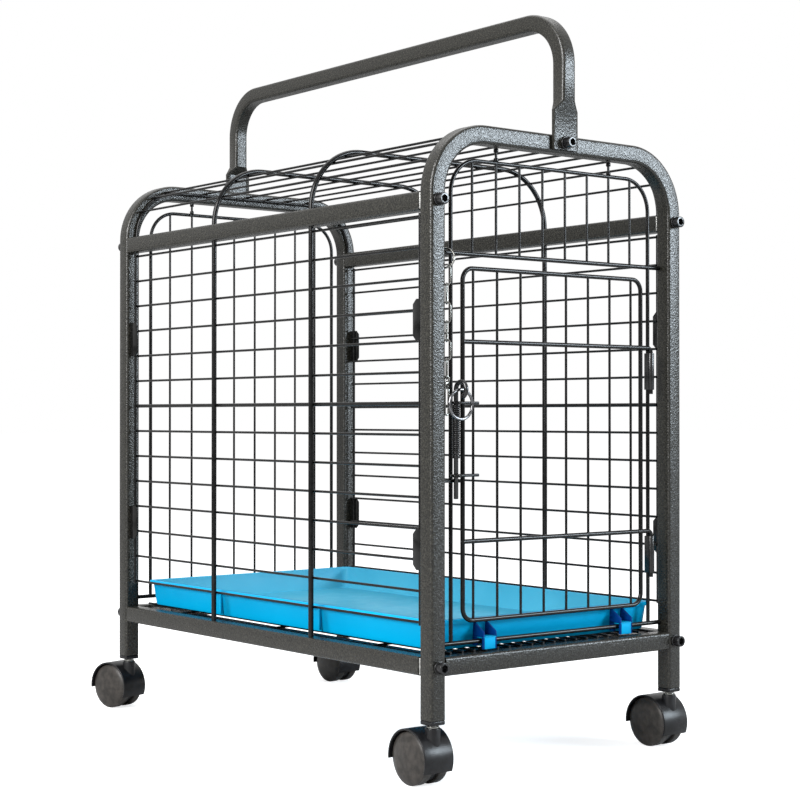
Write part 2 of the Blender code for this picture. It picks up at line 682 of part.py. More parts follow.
def make_latch():
    crook = [(LATCH_X, LATCH_Y, BOLT_BOTTOM_Z)]
    for i in range(12):
        angle = math.radians(BOLT_CURL) * i / 11
        crook.append((LATCH_X, PULL_RING_Y + CROOK_RADIUS * math.cos(angle),
                      BOLT_CROOK_Z + CROOK_RADIUS * math.sin(angle)))
    rod = wire(crook, BAR, 2)
    collar = cylinder((LATCH_X, LATCH_Y, COLLAR_ON_BOLT_Z), COLLAR_ON_BOLT_RADIUS, COLLAR_ON_BOLT_HEIGHT, 12)
    origin = (LATCH_X, LATCH_Y, COLLAR_ON_BOLT_Z)
    add_part("latch_bolt", boolean(rod, [collar], "UNION"), "black_steel", origin=origin)
    bottom = COLLAR_ON_BOLT_Z + COLLAR_ON_BOLT_HEIGHT / 2 + GAP + SPRING_WIRE
    top = STAPLE_Z[0] - STAPLE - GAP - SPRING_WIRE
    radius = BAR + EYE_CLEARANCE + SPRING_WIRE
    foot = bottom - SPRING_WIRE
    head = top + SPRING_WIRE
    bottom += 2 * SPRING_WIRE
    top -= 2 * SPRING_WIRE
    path = []
    for i in range(SPRING_TURNS * SPRING_POINTS + 1):
        share = i / (SPRING_TURNS * SPRING_POINTS)
        angle = 2 * math.pi * SPRING_TURNS * share
        path.append((LATCH_X + radius * math.cos(angle), LATCH_Y + radius * math.sin(angle),
                     bottom + (top - bottom) * share))
    least = min((Vector(path[i]) - Vector(path[i + SPRING_POINTS])).length
                for i in range(len(path) - SPRING_POINTS))
    print("least gap between the spring's turns, mm:", round((least - 2 * SPRING_WIRE) * 1000, 2))
    path = [(path[0][0], path[0][1], foot)] + path + [(path[-1][0], path[-1][1], head)]
    add_part("latch_spring", wire(path, SPRING_WIRE), "black_steel", origin=origin)
    centre = (LATCH_X, PULL_RING_Y, BOLT_CROOK_Z - PULL_RING_RADIUS)
    pull = ring(centre, PULL_RING_RADIUS, PULL_RING_WIRE, (1, 0, 0), (0, 0, 1), 24)
    add_part("pull_ring", pull, "black_steel", origin=origin)
    path = [(-INNER_X + GAP, STAPLE_Y, KEEPER_Z)]
    for i in range(6):
        angle = math.radians(90 - 90 * i / 5)
        path.append((LATCH_X + EYE_RADIUS * math.cos(angle), LATCH_Y + EYE_RADIUS * math.sin(angle), KEEPER_Z))
    path.append((LATCH_X + EYE_RADIUS, LATCH_Y - STAPLE, KEEPER_Z))
    add_part("latch_keeper", wire(path, STAPLE), "wire_paint")


def link(centre, turn):
    """One straight-sided chain link, turned about its length."""
    half_width = LINK_WIDTH / 2
    half_length = LINK_LENGTH / 2
    corners = [(-half_width, 0, half_length), (half_width, 0, half_length),
               (half_width, 0, -half_length), (-half_width, 0, -half_length)]
    path = filleted(corners, half_width - 0.00001, 3, closed=True)
    mesh = wire(path, LINK_WIRE, closed=True)
    mesh.transform(Matrix.Translation(Vector(centre)) @ Matrix.Rotation(turn, 4, "Z"))
    return mesh


def make_chain():
    """A ring on the cross bar, a short chain and a snap hook, hanging beside the latch."""
    bar = Vector((CHAIN_X, -PANEL_Y, CROSSBAR_Z))
    drop = 2 * ANCHOR_RADIUS - BAR - ANCHOR_WIRE - GAP
    lean = CHAIN_Y_OFFSET / drop
    down = Vector((0, -lean, -math.sqrt(1 - lean * lean)))
    centre = bar + down * (drop - ANCHOR_RADIUS)
    anchor = ring(centre, ANCHOR_RADIUS, ANCHOR_WIRE, down, (0.28, 0.96, 0), 20)
    pivot = bar + down * drop
    add_part("chain_anchor", anchor, "bright_steel")
    z = pivot.z + ANCHOR_WIRE + LINK_WIRE + 3 * GAP - LINK_LENGTH / 2
    links = []
    for i in range(LINK_COUNT):
        links.append(link((CHAIN_X, CHAIN_Y, z), math.radians(45 if i % 2 else -45)))
        z -= LINK_LENGTH - 2 * LINK_WIRE + LINK_BITE
    add_part("chain", united(links), "bright_steel", origin=pivot)
    last_z = z + LINK_LENGTH / 2 - 2 * LINK_WIRE + LINK_BITE
    eye_z = last_z + LINK_WIRE + HOOK_WIRE + 3 * GAP - HOOK_EYE
    neck_z = eye_z - HOOK_EYE
    half = HOOK_WIDTH / 2
    low_z = neck_z - HOOK_DROP
    gate_top = neck_z - 2 * half
    corners = [(CHAIN_X, CHAIN_Y, neck_z), (CHAIN_X, CHAIN_Y, neck_z - half),
               (CHAIN_X - half, CHAIN_Y, neck_z - 2 * half), (CHAIN_X - half, CHAIN_Y, low_z),
               (CHAIN_X + half, CHAIN_Y, low_z), (CHAIN_X + half, CHAIN_Y, gate_top - GATE_LENGTH - GAP)]
    hook = wire(filleted(corners, half * 0.6, 3), HOOK_WIRE)
    eye = ring((CHAIN_X, CHAIN_Y, eye_z), HOOK_EYE, HOOK_WIRE, (1, 0, 0), (0, 0, 1), 12)
    arm = wire([(CHAIN_X, CHAIN_Y, neck_z - half), (CHAIN_X + half, CHAIN_Y, gate_top + 2 * HOOK_WIRE)], HOOK_WIRE)
    add_part("snap_hook", boolean(eye, [hook, arm], "UNION"), "bright_steel", origin=pivot)
    x = CHAIN_X + half
    gate = wire([(x, CHAIN_Y, gate_top), (x, CHAIN_Y, gate_top - GATE_LENGTH)], HOOK_WIRE)
    add_part("snap_gate", gate, "bright_steel", origin=(x, CHAIN_Y, gate_top))


def make_floor():
    reach = INNER_Y + FLOOR_OVERLAP
    first = -FLOOR_PITCH * (FLOOR_COUNT - 1) / 2
    wires = []
    for i in range(FLOOR_COUNT):
        x = first + FLOOR_PITCH * i
        wires.append(wire([(x, -reach, FLOOR_Z), (x, reach, FLOOR_Z)], FLOOR_WIRE, 0))
    x = INNER_X - GAP
    z = FLOOR_Z - 2 * FLOOR_WIRE + WELD
    for y in FLOOR_TIES:
        wires.append(wire([(-x, y, z), (x, y, z)], FLOOR_WIRE, 0))
    add_part("floor_grille", united(wires), "wire_paint")


def make_tray():
    """A shallow tray with a lip all round, and two hooks over the front panel's bottom bar."""
    lip_z = TRAY_TOP_Z - TRAY_LIP_HEIGHT
    sections = [(TRAY_LIP + TRAY_DRAFT, TRAY_BOTTOM_Z), (TRAY_LIP, lip_z), (0.0, lip_z), (0.0, TRAY_TOP_Z),
                (TRAY_LIP + TRAY_WALL, TRAY_TOP_Z),
                (TRAY_LIP + TRAY_WALL + TRAY_DRAFT, TRAY_BOTTOM_Z + TRAY_FLOOR)]
    half_x = TRAY_HALF_WIDTH
    half_y = (TRAY_REAR_Y - TRAY_FRONT_Y) / 2
    middle_y = (TRAY_REAR_Y + TRAY_FRONT_Y) / 2
    inset, z = sections[0]
    outline = rounded_outline(half_x - inset, half_y - inset, TRAY_CORNER - inset, 4)
    bm = bmesh.new()
    face = bm.faces.new([bm.verts.new(point + Vector((0, middle_y, z))) for point in outline])
    for next_inset, next_z in sections[1:]:
        stretch = Matrix.Diagonal(((half_x - next_inset) / (half_x - inset),
                                   (half_y - next_inset) / (half_y - inset), 1, 1))
        to_middle = Matrix.Translation((0, -middle_y, -z))
        face = grow(bm, face, Matrix.Translation((0, middle_y, next_z)) @ stretch @ to_middle)
        inset, z = next_inset, next_z
    body = mesh_of(bm)
    bar_back = -PANEL_Y + BAR + GAP + 0.001
    bar_front = -PANEL_Y - BAR - GAP - 0.001
    front = bar_front - CLIP_ON_TRAY_REACH
    bar_top = BOTTOM_BAR_Z + BAR + 2 * GAP
    low = RAIL_TOP_Z + 2 * GAP
    shoulder = DOOR_BOTTOM_Z - BAR - 0.002
    root = shoulder - 0.019
    slope = TRAY_DRAFT / (lip_z - TRAY_BOTTOM_Z)
    wall_y = TRAY_FRONT_Y + TRAY_LIP + TRAY_WALL / 2
    outline = [(wall_y + slope * (lip_z - shoulder), shoulder), (bar_back, shoulder),
               (front, bar_top + 0.0045), (front, low), (bar_front, low), (bar_front, bar_top),
               (bar_back, bar_top), (bar_back, root + 0.003), (wall_y + slope * (lip_z - root), root)]
    hook = outline_solid([outline], CLIP_ON_TRAY_WIDTH)
    hooks = [moved(hook, Matrix.Translation((x, 0, 0)) @ UPRIGHT) for x in CLIP_ON_TRAY_X]
    add_part("tray", boolean(body, hooks, "UNION"), "blue_plastic")


def castor_housing():
    """Hood over both wheels with a web between them and a boss round the stem, stem at x = y = 0."""
    outline = []
    for i in range(19):
        angle = math.radians(HOOD_REAR_ANGLE + (HOOD_FRONT_ANGLE - HOOD_REAR_ANGLE) * i / 18)
        outline.append((CASTOR_TRAIL + HOOD_RADIUS * math.cos(angle), WHEEL_RADIUS + HOOD_RADIUS * math.sin(angle)))
    hood = moved(outline_solid([outline], HOOD_WIDTH), UPRIGHT)
    height = BOSS_TOP_Z - BOSS_BOTTOM_Z
    boss = cylinder((0, 0, BOSS_BOTTOM_Z + height / 2), BOSS_RADIUS, height, 16)
    hood = boolean(hood, [boss], "UNION")
    cutters = []
    inner = WHEEL_INNER_X - HOOD_CLEARANCE / 2
    for side in (-1, 1):
        centre = (side * (inner + HOOD_WIDTH / 2), CASTOR_TRAIL, WHEEL_RADIUS)
        cutters.append(cylinder(centre, WHEEL_RADIUS + HOOD_CLEARANCE, HOOD_WIDTH, ROUND, (1, 0, 0)))
    cutters.append(cylinder((0, CASTOR_TRAIL, WHEEL_RADIUS), AXLE_RADIUS + GAP, 4 * inner, 12, (1, 0, 0)))
    cutters.append(cylinder((0, 0, BOSS_TOP_Z), STEM_RADIUS + GAP, 2 * STEM_DEPTH, 12))
    return boolean(hood, cutters, "DIFFERENCE")


def castor_wheel(side):
    """One wheel turned about X: tread, hub bore closed by a domed outer disc."""
    tread_x = WHEEL_OUTER_X - WHEEL_CROWN
    bore = AXLE_RADIUS + GAP
    profile = [(WHEEL_OUTER_X, 0.0), (WHEEL_OUTER_X - WHEEL_CROWN * 0.12, WHEEL_RADIUS * 0.45),
               (WHEEL_OUTER_X - WHEEL_CROWN * 0.5, WHEEL_RADIUS * 0.80), (tread_x, WHEEL_RADIUS),
               (WHEEL_INNER_X + WHEEL_CROWN / 3, WHEEL_RADIUS), (WHEEL_INNER_X, WHEEL_RADIUS - WHEEL_CROWN / 2),
               (WHEEL_INNER_X, bore), (AXLE_HALF_LENGTH + GAP, bore), (AXLE_HALF_LENGTH + GAP, 0.0)]
    bm = bmesh.new()
    verts = [bm.verts.new((side * x, 0.0, radius)) for x, radius in profile]
    edges = [bm.edges.new(pair) for pair in zip(verts, verts[1:])]
    bmesh.ops.spin(bm, geom=verts + edges, cent=(0, 0, 0), axis=(1, 0, 0), angle=2 * math.pi, steps=ROUND,
                   use_merge=True)
    bmesh.ops.remove_doubles(bm, verts=bm.verts, dist=0.00001)
    mesh = mesh_of(bm)
    mesh.transform(Matrix.Translation((0, CASTOR_TRAIL, WHEEL_RADIUS)))
    return mesh


def make_castors():
    plug_low = LEG_FOOT_Z - LEG_PLUG_HEIGHT
    half = HALF_TUBE - PLUG_MARGIN / 2
    stem_low = BOSS_TOP_Z - STEM_DEPTH + GAP
    stem_high = LEG_FOOT_Z - GAP
    for corner, turn in CASTOR_TURN.items():
        x = POST_X if corner.endswith("right") else -POST_X
        y = POST_Y if corner.startswith("rear") else -POST_Y
        plug = box((x - half, y - half, plug_low), (x + half, y + half, stem_high))
        stem = cylinder((x, y, (stem_low + plug_low) / 2 + WELD), STEM_RADIUS, plug_low - stem_low + 2 * WELD, 12)
        add_part(f"castor_stem_{corner}", united([plug, stem]), "bright_steel")
        swivel = bpy.data.objects.new(f"swivel_{corner}", None)
        swivel.location = (x, y, 0)
        swivel.rotation_euler = (0, 0, math.radians(turn))
        PARTS.objects.link(swivel)
        axle_at = (0, CASTOR_TRAIL, WHEEL_RADIUS)
        prefix = f"castor_{corner}"
        add_part(f"{prefix}_housing", castor_housing(), "black_nylon", parent=swivel)
        axle = cylinder(axle_at, AXLE_RADIUS, 2 * AXLE_HALF_LENGTH, 12, (1, 0, 0))
        add_part(f"{prefix}_axle", axle, "bright_steel", origin=axle_at, parent=swivel)
        for side, hand in ((-1, "left"), (1, "right")):
            add_part(f"{prefix}_wheel_{hand}", castor_wheel(side), "black_nylon", origin=axle_at, parent=swivel)


def centre_on_ground():
    """Moves the whole crate so that the middle of its footprint is at the origin."""
    bpy.context.view_layer.update()
    points = [obj.matrix_world @ vert.co for obj in PARTS.objects if obj.type == "MESH" for vert in obj.data.vertices]
    xs = [point.x for point in points]
    ys = [point.y for point in points]
    shift = Vector(((min(xs) + max(xs)) / 2, (min(ys) + max(ys)) / 2, 0))
    for obj in PARTS.objects:
        if obj.parent is None:
            obj.location -= shift


def main():
    global PARTS, GUIDES
    clear_scene()
    PARTS = new_collection(NAME)
    GUIDES = new_collection("guides")
    make_materials()
    end_frame("front_frame", -1)
    end_frame("rear_frame", 1)
    make_rails()
    make_handle()
    make_bolts()
    make_side_grilles()
    make_roof()
    make_panels()
    make_door()
    make_hinge_clips()
    make_latch()
    make_chain()
    make_floor()
    make_tray()
    make_castors()
    centre_on_ground()


main()
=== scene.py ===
"""Looks of the pet travel crate: frame tubes, wire panels, door, latch, chain, tray and castors."""

import math

import bpy
from mathutils import Matrix, Vector


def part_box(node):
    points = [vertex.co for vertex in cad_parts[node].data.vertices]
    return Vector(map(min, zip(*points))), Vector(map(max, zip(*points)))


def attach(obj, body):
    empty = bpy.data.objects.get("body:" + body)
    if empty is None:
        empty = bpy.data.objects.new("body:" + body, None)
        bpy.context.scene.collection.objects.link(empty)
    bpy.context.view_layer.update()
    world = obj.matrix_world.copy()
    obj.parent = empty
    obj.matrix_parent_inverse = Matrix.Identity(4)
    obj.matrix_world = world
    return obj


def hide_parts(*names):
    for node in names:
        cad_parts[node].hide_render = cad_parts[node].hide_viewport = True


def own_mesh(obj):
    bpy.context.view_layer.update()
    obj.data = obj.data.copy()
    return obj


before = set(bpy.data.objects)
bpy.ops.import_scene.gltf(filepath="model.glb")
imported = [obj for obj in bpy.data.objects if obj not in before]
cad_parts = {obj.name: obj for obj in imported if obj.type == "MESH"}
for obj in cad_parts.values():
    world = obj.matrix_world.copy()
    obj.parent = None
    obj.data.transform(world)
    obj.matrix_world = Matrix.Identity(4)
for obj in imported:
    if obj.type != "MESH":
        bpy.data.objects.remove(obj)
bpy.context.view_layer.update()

# The crate's middle, as it was drawn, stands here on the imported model's ground
DRAWN_AT = (0.005331, -0.013274, 0.0)

# Room between two pieces, and how deep welded wires bite into each other
GAP = 0.0003
BITE = 0.0004

# The turn that stands a flat ring on its edge, across the crate
ON_EDGE = (math.pi / 2, 0, 0)

# How close two places count as one, and how close two corners are merged
NEAR = 0.0001
MERGE = 0.00002

# Widths of softened edges
SHEET_EDGE = 0.0002
FINE_EDGE = 0.0003
PIN_EDGE = 0.0004
SMALL_EDGE = 0.0005
EASED_EDGE = 0.0006
BEAD_EDGE = 0.0007
ROUND_EDGE = 0.0008
NECK_EDGE = 0.0011
PLUG_EDGE = 0.0012

# Frame tubes
TUBE = 0.018
TUBE_EDGE = 0.0030
POST_X = 0.1605
POST_Y = 0.2855
OUTER_Y = POST_Y + TUBE / 2
INNER_X = POST_X - TUBE / 2 - GAP
INNER_Y = POST_Y - TUBE / 2 - GAP
FOOT_Z = 0.063
TOP_Z = 0.626
FRAME_BEND = 0.060
LOWER_Z = 0.1125
UPPER_Z = 0.5505
RAIL_END_Y = 0.2745
SPACER_LAP = 0.0001
SPACER_INSET = 0.0013

# Handle
GRIP = 0.017
GRIP_TOP_Z = 0.7525
GRIP_BEND = 0.0475
GRIP_Y = 0.2955
GRIP_LEG_END_Z = 0.660
PLATE_Y = 0.29665
PLATE_END_Z = 0.611
PLATE_TOP_Z = 0.650
PLATE_WIDTH = 0.033
PLATE_THICK = 0.0037

# Cap screws
SCREW_HEAD = 0.00565
SCREW_SOCKET = 0.0040
SCREW_SOCKET_DEPTH = 0.0045
FRAME_COLLAR = (0.0063, 0.0018)
FRAME_SCREW_HEIGHT = 0.0070
FRAME_SCREW_GAP = 0.0002
HANDLE_COLLAR = (0.00695, 0.0012)
HANDLE_SCREW_HEIGHT = 0.0082
HANDLE_SCREW_Y = 0.29875
HANDLE_SCREW_Z = 0.618

# Wire radii
THIN = 0.0013
WAIST = 0.0020
STAY = 0.0015
OUTLINE = 0.0020
BAR = 0.00225
HOOP = 0.00275
END_HOOP = 0.0019
FLOOR_WIRE = 0.0012

# Side grilles
SIDE_X = 0.1595
SIDE_REACH = 0.2700
SIDE_TOP_Z = 0.537
SIDE_PITCH = 0.0296
WIRES_ABOVE_WAIST = 6
WIRES_BELOW_WAIST = 7
STAY_Y = 0.2685
STAY_OVERHANG = 0.0026
UPRIGHT_Z = (0.1218, 0.5412)
TAB_Z = ((0.4185, 0.4585), (0.202, 0.241))
TAB_WIDTH = 0.0157
TAB_THICK = 0.0014
TAB_CORNER = 0.005

# Roof
HOOP_Y = 0.0925
ROOF_BEND = 0.060
ROOF_BEND_X = 0.0995
ROOF_BEND_Z = 0.5597
ROOF_Z = ROOF_BEND_Z + ROOF_BEND
ROOF_PITCH = 0.0305
ROOF_FLAT_WIRES = 7
ROOF_SIDE_ANGLES = (18.0, 34.5, 58.0)
ARCH_FOOT = 0.0001

# End panels
PANEL_X = 0.1343
PANEL_Y = 0.2805
PANEL_TOP = 0.593
PANEL_BEND = 0.033
CROSSBAR_Z = 0.5028
BOTTOM_BAR_Z = 0.1315
WIRE_PITCH = 0.0307
PANEL_WIRES = 8
FIRST_WIRE_X = -WIRE_PITCH * (PANEL_WIRES - 1) / 2
HANGER_TOP_Z = 0.6077
BEAD_Z = (PANEL_TOP + 0.003, 0.6054)
BEAD_RADIUS = 0.0024
BEAD_HALF = 0.0020

# Door and hinges
DOOR_Y = -0.2820
DOOR_X = (-0.1207, 0.122)
DOOR_Z = (0.152, 0.489)
DOOR_BEND = 0.012
HINGE_X = PANEL_X
HINGE_Y = -0.28495
HINGE_Z = (0.4185, 0.228)
PIN_BEND = 0.005
PIN_DROP = 0.048
SLEEVE_RADIUS = 0.00355
SLEEVE_WALL = 0.001
SLEEVE_HEIGHT = 0.038
SLEEVE_DROP = 0.0055

# Latch
LATCH_X = -0.1350
LATCH_Y = -0.28925
LATCH_FOOT_Z = 0.269
CROOK = 0.0074
CROOK_Z = 0.3725
CROOK_TURN = 250
RING_Y = LATCH_Y - CROOK
PULL_RING = 0.0140
EYE = 0.0041
STAPLE = 0.0015
STAPLE_Y = LATCH_Y + EYE
STAPLE_END_X = -0.1036
STAPLE_TURN = 345
STAPLE_Z = (0.360, 0.291)
COLLAR = 0.0038
COLLAR_Z = (0.3075, 0.3105)
COIL = 0.0032
COIL_WIRE = 0.00085
COIL_TURNS = 26
COIL_Z = (0.3114, 0.3576)
KEEPER_Z = 0.286

# Chain and snap hook
CHAIN_X = -0.1440
CHAIN_Y = -0.2863
CHAIN_TOP = 0.48783
ANCHOR = 0.0098
ANCHOR_WIRE = 0.0010
ANCHOR_ACROSS = (0.6, -0.8, 0)
LINKS = 6
LINK_HALF_WIDTH = 0.0036
LINK_HALF_LENGTH = 0.0096
LINK_WIRE = 0.0009
HOOK_EYE = 0.0030
HOOK_WIRE = 0.0010
HOOK_HALF_WIDTH = 0.0022
HOOK_BEND = HOOK_HALF_WIDTH * 0.98
HOOK_START = 0.002
HOOK_LENGTH = 0.0305
HOOK_TIP = 0.0042
NECK_HALF = (0.0030, 0.0013)
NECK_Z = (-0.0062, 0.0008)

# Floor
FLOOR_Z = 0.1230
FLOOR_REACH = 0.2815
FLOOR_PITCH = 0.015
FLOOR_WIRES = 19
TIE_Y = 0.18
TIE_DROP = 0.002
# Dark strips under the floor wires' edges: painted shade seen between the wires
SHADE_STRIP_Z = (0.1188, 0.1197)
SHADE_STRIP_FRONT_Y = -0.2440
SHADE_STRIP_END_Y = 0.2764
SHADE_STRIP_X = 0.1411
SHADE_STRIP_HALF = 0.0100

# Tray. Its walls are insets and heights of one outline, from the underside over the rim to the floor
TRAY_HALF_X = 0.1475
TRAY_HALF_Y = 0.26925
TRAY_Y = -0.00525
TRAY_CORNER = 0.014
TRAY_BOTTOM_Z = 0.1245
TRAY_FLOOR_Z = 0.1269
TRAY_RIM_Z = 0.153
TRAY_WALLS = ((0.0065, TRAY_BOTTOM_Z), (0.0058, TRAY_BOTTOM_Z + 0.0014), (0.0032, TRAY_RIM_Z - 0.0046),
              (0.0030, TRAY_RIM_Z - 0.0040), (0.0002, TRAY_RIM_Z - 0.0040), (0.0000, TRAY_RIM_Z - 0.0036),
              (0.0000, TRAY_RIM_Z - 0.0007), (0.0006, TRAY_RIM_Z), (0.0046, TRAY_RIM_Z),
              (0.0052, TRAY_RIM_Z - 0.0006), (0.0078, TRAY_FLOOR_Z + 0.0016), (0.0092, TRAY_FLOOR_Z))
# The skin over the tray's inside, which carries its painted sheen
SHEEN_SKIN_WALLS = ((0.0046, TRAY_RIM_Z + 0.0002), (0.0054, TRAY_RIM_Z - 0.0005), (0.0080, TRAY_FLOOR_Z + 0.0018),
                (0.0094, TRAY_FLOOR_Z + 0.0002))
RIB_X = 0.1453
RIB_Y = (0.106, -0.083)
RIB_Z = (0.1265, 0.1500)
RIB_HALF = (0.0014, 0.0012)
CLIP_X = (-0.0895, 0.0965)
CLIP_WIDTH = 0.017
CLIP_FRONT_Y = -0.2862
CLIP_LIP_Y = -0.2842
CLIP_BACK_Y = -0.2700
CLIP_FOOT_Z = 0.1235
CLIP_SHELF_Z = (0.1340, 0.1358)
FIN_THICK = 0.0017
FIN_LAP = 0.0001
FIN_OUTLINE = ((CLIP_FRONT_Y, CLIP_FOOT_Z), (-0.2838, CLIP_FOOT_Z), (-0.2838, 0.1345), (-0.2772, 0.1345),
               (-0.2772, 0.1262), (CLIP_BACK_Y, 0.1262), (CLIP_BACK_Y, 0.1488), (-0.2728, 0.1488),
               (CLIP_FRONT_Y, 0.1402))

# Castors. A wheel's outer disc is domed by insets and rises
WHEEL = 0.0255
WHEEL_WIDTH = 0.0093
WHEEL_X = 0.00935
DOME_STEPS = ((0.0010, 0.0003), (0.0010, 0.0007), (0.0015, 0.0007), (0.0020, 0.0007), (0.0030, 0.0006),
              (0.0040, 0.0006), (0.0045, 0.0004), (0.0040, 0.0002), (0.0030, 0.0001))
AXLE = 0.0030
AXLE_END = 0.0142
TRAIL = 0.018
HOOD = 0.0285
HOOD_WIDTH = 0.0345
HOOD_WALL = 0.0019
HOOD_START = -6
HOOD_TURN = 209
WEB = 0.0248
WEB_HALF = 0.0041
WEB_RISE = 0.0022
BOSS = 0.0073
BOSS_Z = (0.030, 0.0555)
STEM = 0.0040
STEM_Z = (0.0440, 0.0600)
STEM_COLLAR = 0.0062
STEM_COLLAR_Z = (0.0555, 0.0572)
PLUG_HALF = 0.0085
PLUG_Z = (0.0585, 0.0628)
CORNER_TURNS = {"front_left": 0.0, "front_right": 0.0, "rear_left": 15.0, "rear_right": 2.0}

# Camera
LENS = 78.61
CAMERA_AT = (-1.2007, -1.5524, 0.3476)
CAMERA_TILT = 90.5236
CAMERA_HEADING = -38.318


# Making pieces


def unselect():
    if bpy.context.object and bpy.context.object.mode != "OBJECT":
        bpy.ops.object.mode_set(mode="OBJECT")
    bpy.ops.object.select_all(action="DESELECT")


def activate(made):
    """Makes one piece the only selected one, and the active one."""
    unselect()
    made.select_set(True)
    bpy.context.view_layer.objects.active = made


def edit():
    """Opens the active piece in edit mode with all of it selected."""
    bpy.ops.object.mode_set(mode="EDIT")
    bpy.ops.mesh.select_mode(type="FACE")
    bpy.ops.mesh.select_all(action="SELECT")


def choose(made, kind, wanted):
    """Opens a piece in edit mode with only the edges or faces selected that a test wants."""
    activate(made)
    bpy.ops.object.mode_set(mode="EDIT")
    bpy.ops.mesh.select_mode(type=kind)
    bpy.ops.mesh.select_all(action="DESELECT")
    bpy.ops.object.mode_set(mode="OBJECT")
    elements = made.data.edges if kind == "EDGE" else made.data.polygons
    for element in elements:
        element.select = wanted(element)
    bpy.ops.object.mode_set(mode="EDIT")


def push(vector):
    """Pulls the selected end section out along a vector."""
    bpy.ops.mesh.extrude_region_move(TRANSFORM_OT_translate={"value": vector, "orient_type": "GLOBAL"})


def swing(centre, axis, degrees, steps):
    """Takes the selected end section round a bend."""
    bpy.ops.mesh.spin(steps=steps, angle=-math.radians(degrees), center=centre, axis=axis)


def done():
    """Closes the edit with all faces pointing outwards."""
    bpy.ops.mesh.select_all(action="SELECT")
    bpy.ops.mesh.normals_make_consistent(inside=False)
    bpy.ops.object.mode_set(mode="OBJECT")
    return bpy.context.object


def towards(direction):
    """The turn that points a shape's own upward axis along a direction."""
    return Vector((0, 0, 1)).rotation_difference(Vector(direction)).to_euler()


def square(at, facing, side):
    """The first section of a square tube, in edit mode."""
    unselect()
    bpy.ops.mesh.primitive_plane_add(size=side, location=at, rotation=towards(facing))
    edit()
    bpy.ops.mesh.bevel(offset=TUBE_EDGE, segments=5, affect="VERTICES")
    bpy.ops.mesh.select_all(action="SELECT")


def circle(at, facing, radius, sides=14):
    """The first section of a round wire, in edit mode."""
    unselect()
    bpy.ops.mesh.primitive_circle_add(vertices=sides, radius=radius, fill_type="NGON", location=at,
                                      rotation=towards(facing))
    edit()


def rod(a, b, radius, sides=14):
    """A straight round rod from one point to another."""
    a, b = Vector(a), Vector(b)
    unselect()
    bpy.ops.mesh.primitive_cylinder_add(vertices=sides, radius=radius, depth=(b - a).length,
                                        location=(a + b) / 2, rotation=towards(b - a))
    return bpy.context.object


def upright(x, y, heights, radius, sides=14):
    """A rod standing between two heights."""
    low, high = heights
    return rod((x, y, low), (x, y, high), radius, sides)


def ring(at, facing, radius, wire, around, across):
    """A closed ring of round wire."""
    unselect()
    bpy.ops.mesh.primitive_torus_add(major_radius=radius, minor_radius=wire, major_segments=around,
                                     minor_segments=across, location=at, rotation=facing)
    return bpy.context.object


def block(low, high, bevel=0.0, segments=3):
    """A box between two corners, with softened edges."""
    low, high = Vector(low), Vector(high)
    unselect()
    bpy.ops.mesh.primitive_cube_add(size=1, location=(low + high) / 2)
    made = bpy.context.object
    made.dimensions = high - low
    bpy.ops.object.transform_apply(location=False, rotation=False, scale=True)
    if bevel:
        soften(made, bevel, segments)
    return made


def apply(made, modifier):
    activate(made)
    bpy.ops.object.modifier_apply(modifier=modifier.name)
    return made


def soften(made, width, segments=3, angle=30):
    modifier = made.modifiers.new("soft_edges", "BEVEL")
    modifier.width = width
    modifier.segments = segments
    modifier.limit_method = "ANGLE"
    modifier.angle_limit = math.radians(angle)
    return apply(made, modifier)


def repeat(made, count, step):
    """A row of equal wires, set out by a world step."""
    modifier = made.modifiers.new("row", "ARRAY")
    modifier.count = count
    modifier.use_relative_offset = False
    modifier.use_constant_offset = True
    modifier.constant_offset_displace = made.matrix_world.to_3x3().inverted() @ Vector(step)
    return apply(made, modifier)


def copy(made, matrix):
    """A copy with its own mesh, put in its place by a matrix."""
    twin = made.copy()
    twin.data = made.data.copy()
    bpy.context.scene.collection.objects.link(twin)
    twin.data.transform(matrix @ made.matrix_world)
    twin.matrix_world = Matrix.Identity(4)
    return twin


def discard(*leftovers):
    for leftover in leftovers:
        bpy.data.objects.remove(leftover, do_unlink=True)


def welded(parts):
    """Several shapes joined in one mesh."""
    unselect()
    for part in parts:
        part.select_set(True)
    bpy.context.view_layer.objects.active = parts[0]
    bpy.ops.object.join()
    return bpy.context.object


def piece(parts, name, material, body, nodes=(), smooth=35):
    """Finishes a piece: one mesh in its place, smooth, painted, and bound to its body."""
    made = welded(parts) if len(parts) > 1 else parts[0]
    activate(made)
    made.location = made.location + Vector(DRAWN_AT)
    bpy.ops.object.transform_apply(location=True, rotation=True, scale=True)
    bpy.ops.object.shade_smooth_by_angle(angle=math.radians(smooth))
    made.name = name
    made.data.name = name
    made.data.materials.clear()
    made.data.materials.append(material)
    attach(made, body)
    if nodes:
        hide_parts(*nodes)
    return made


# Materials


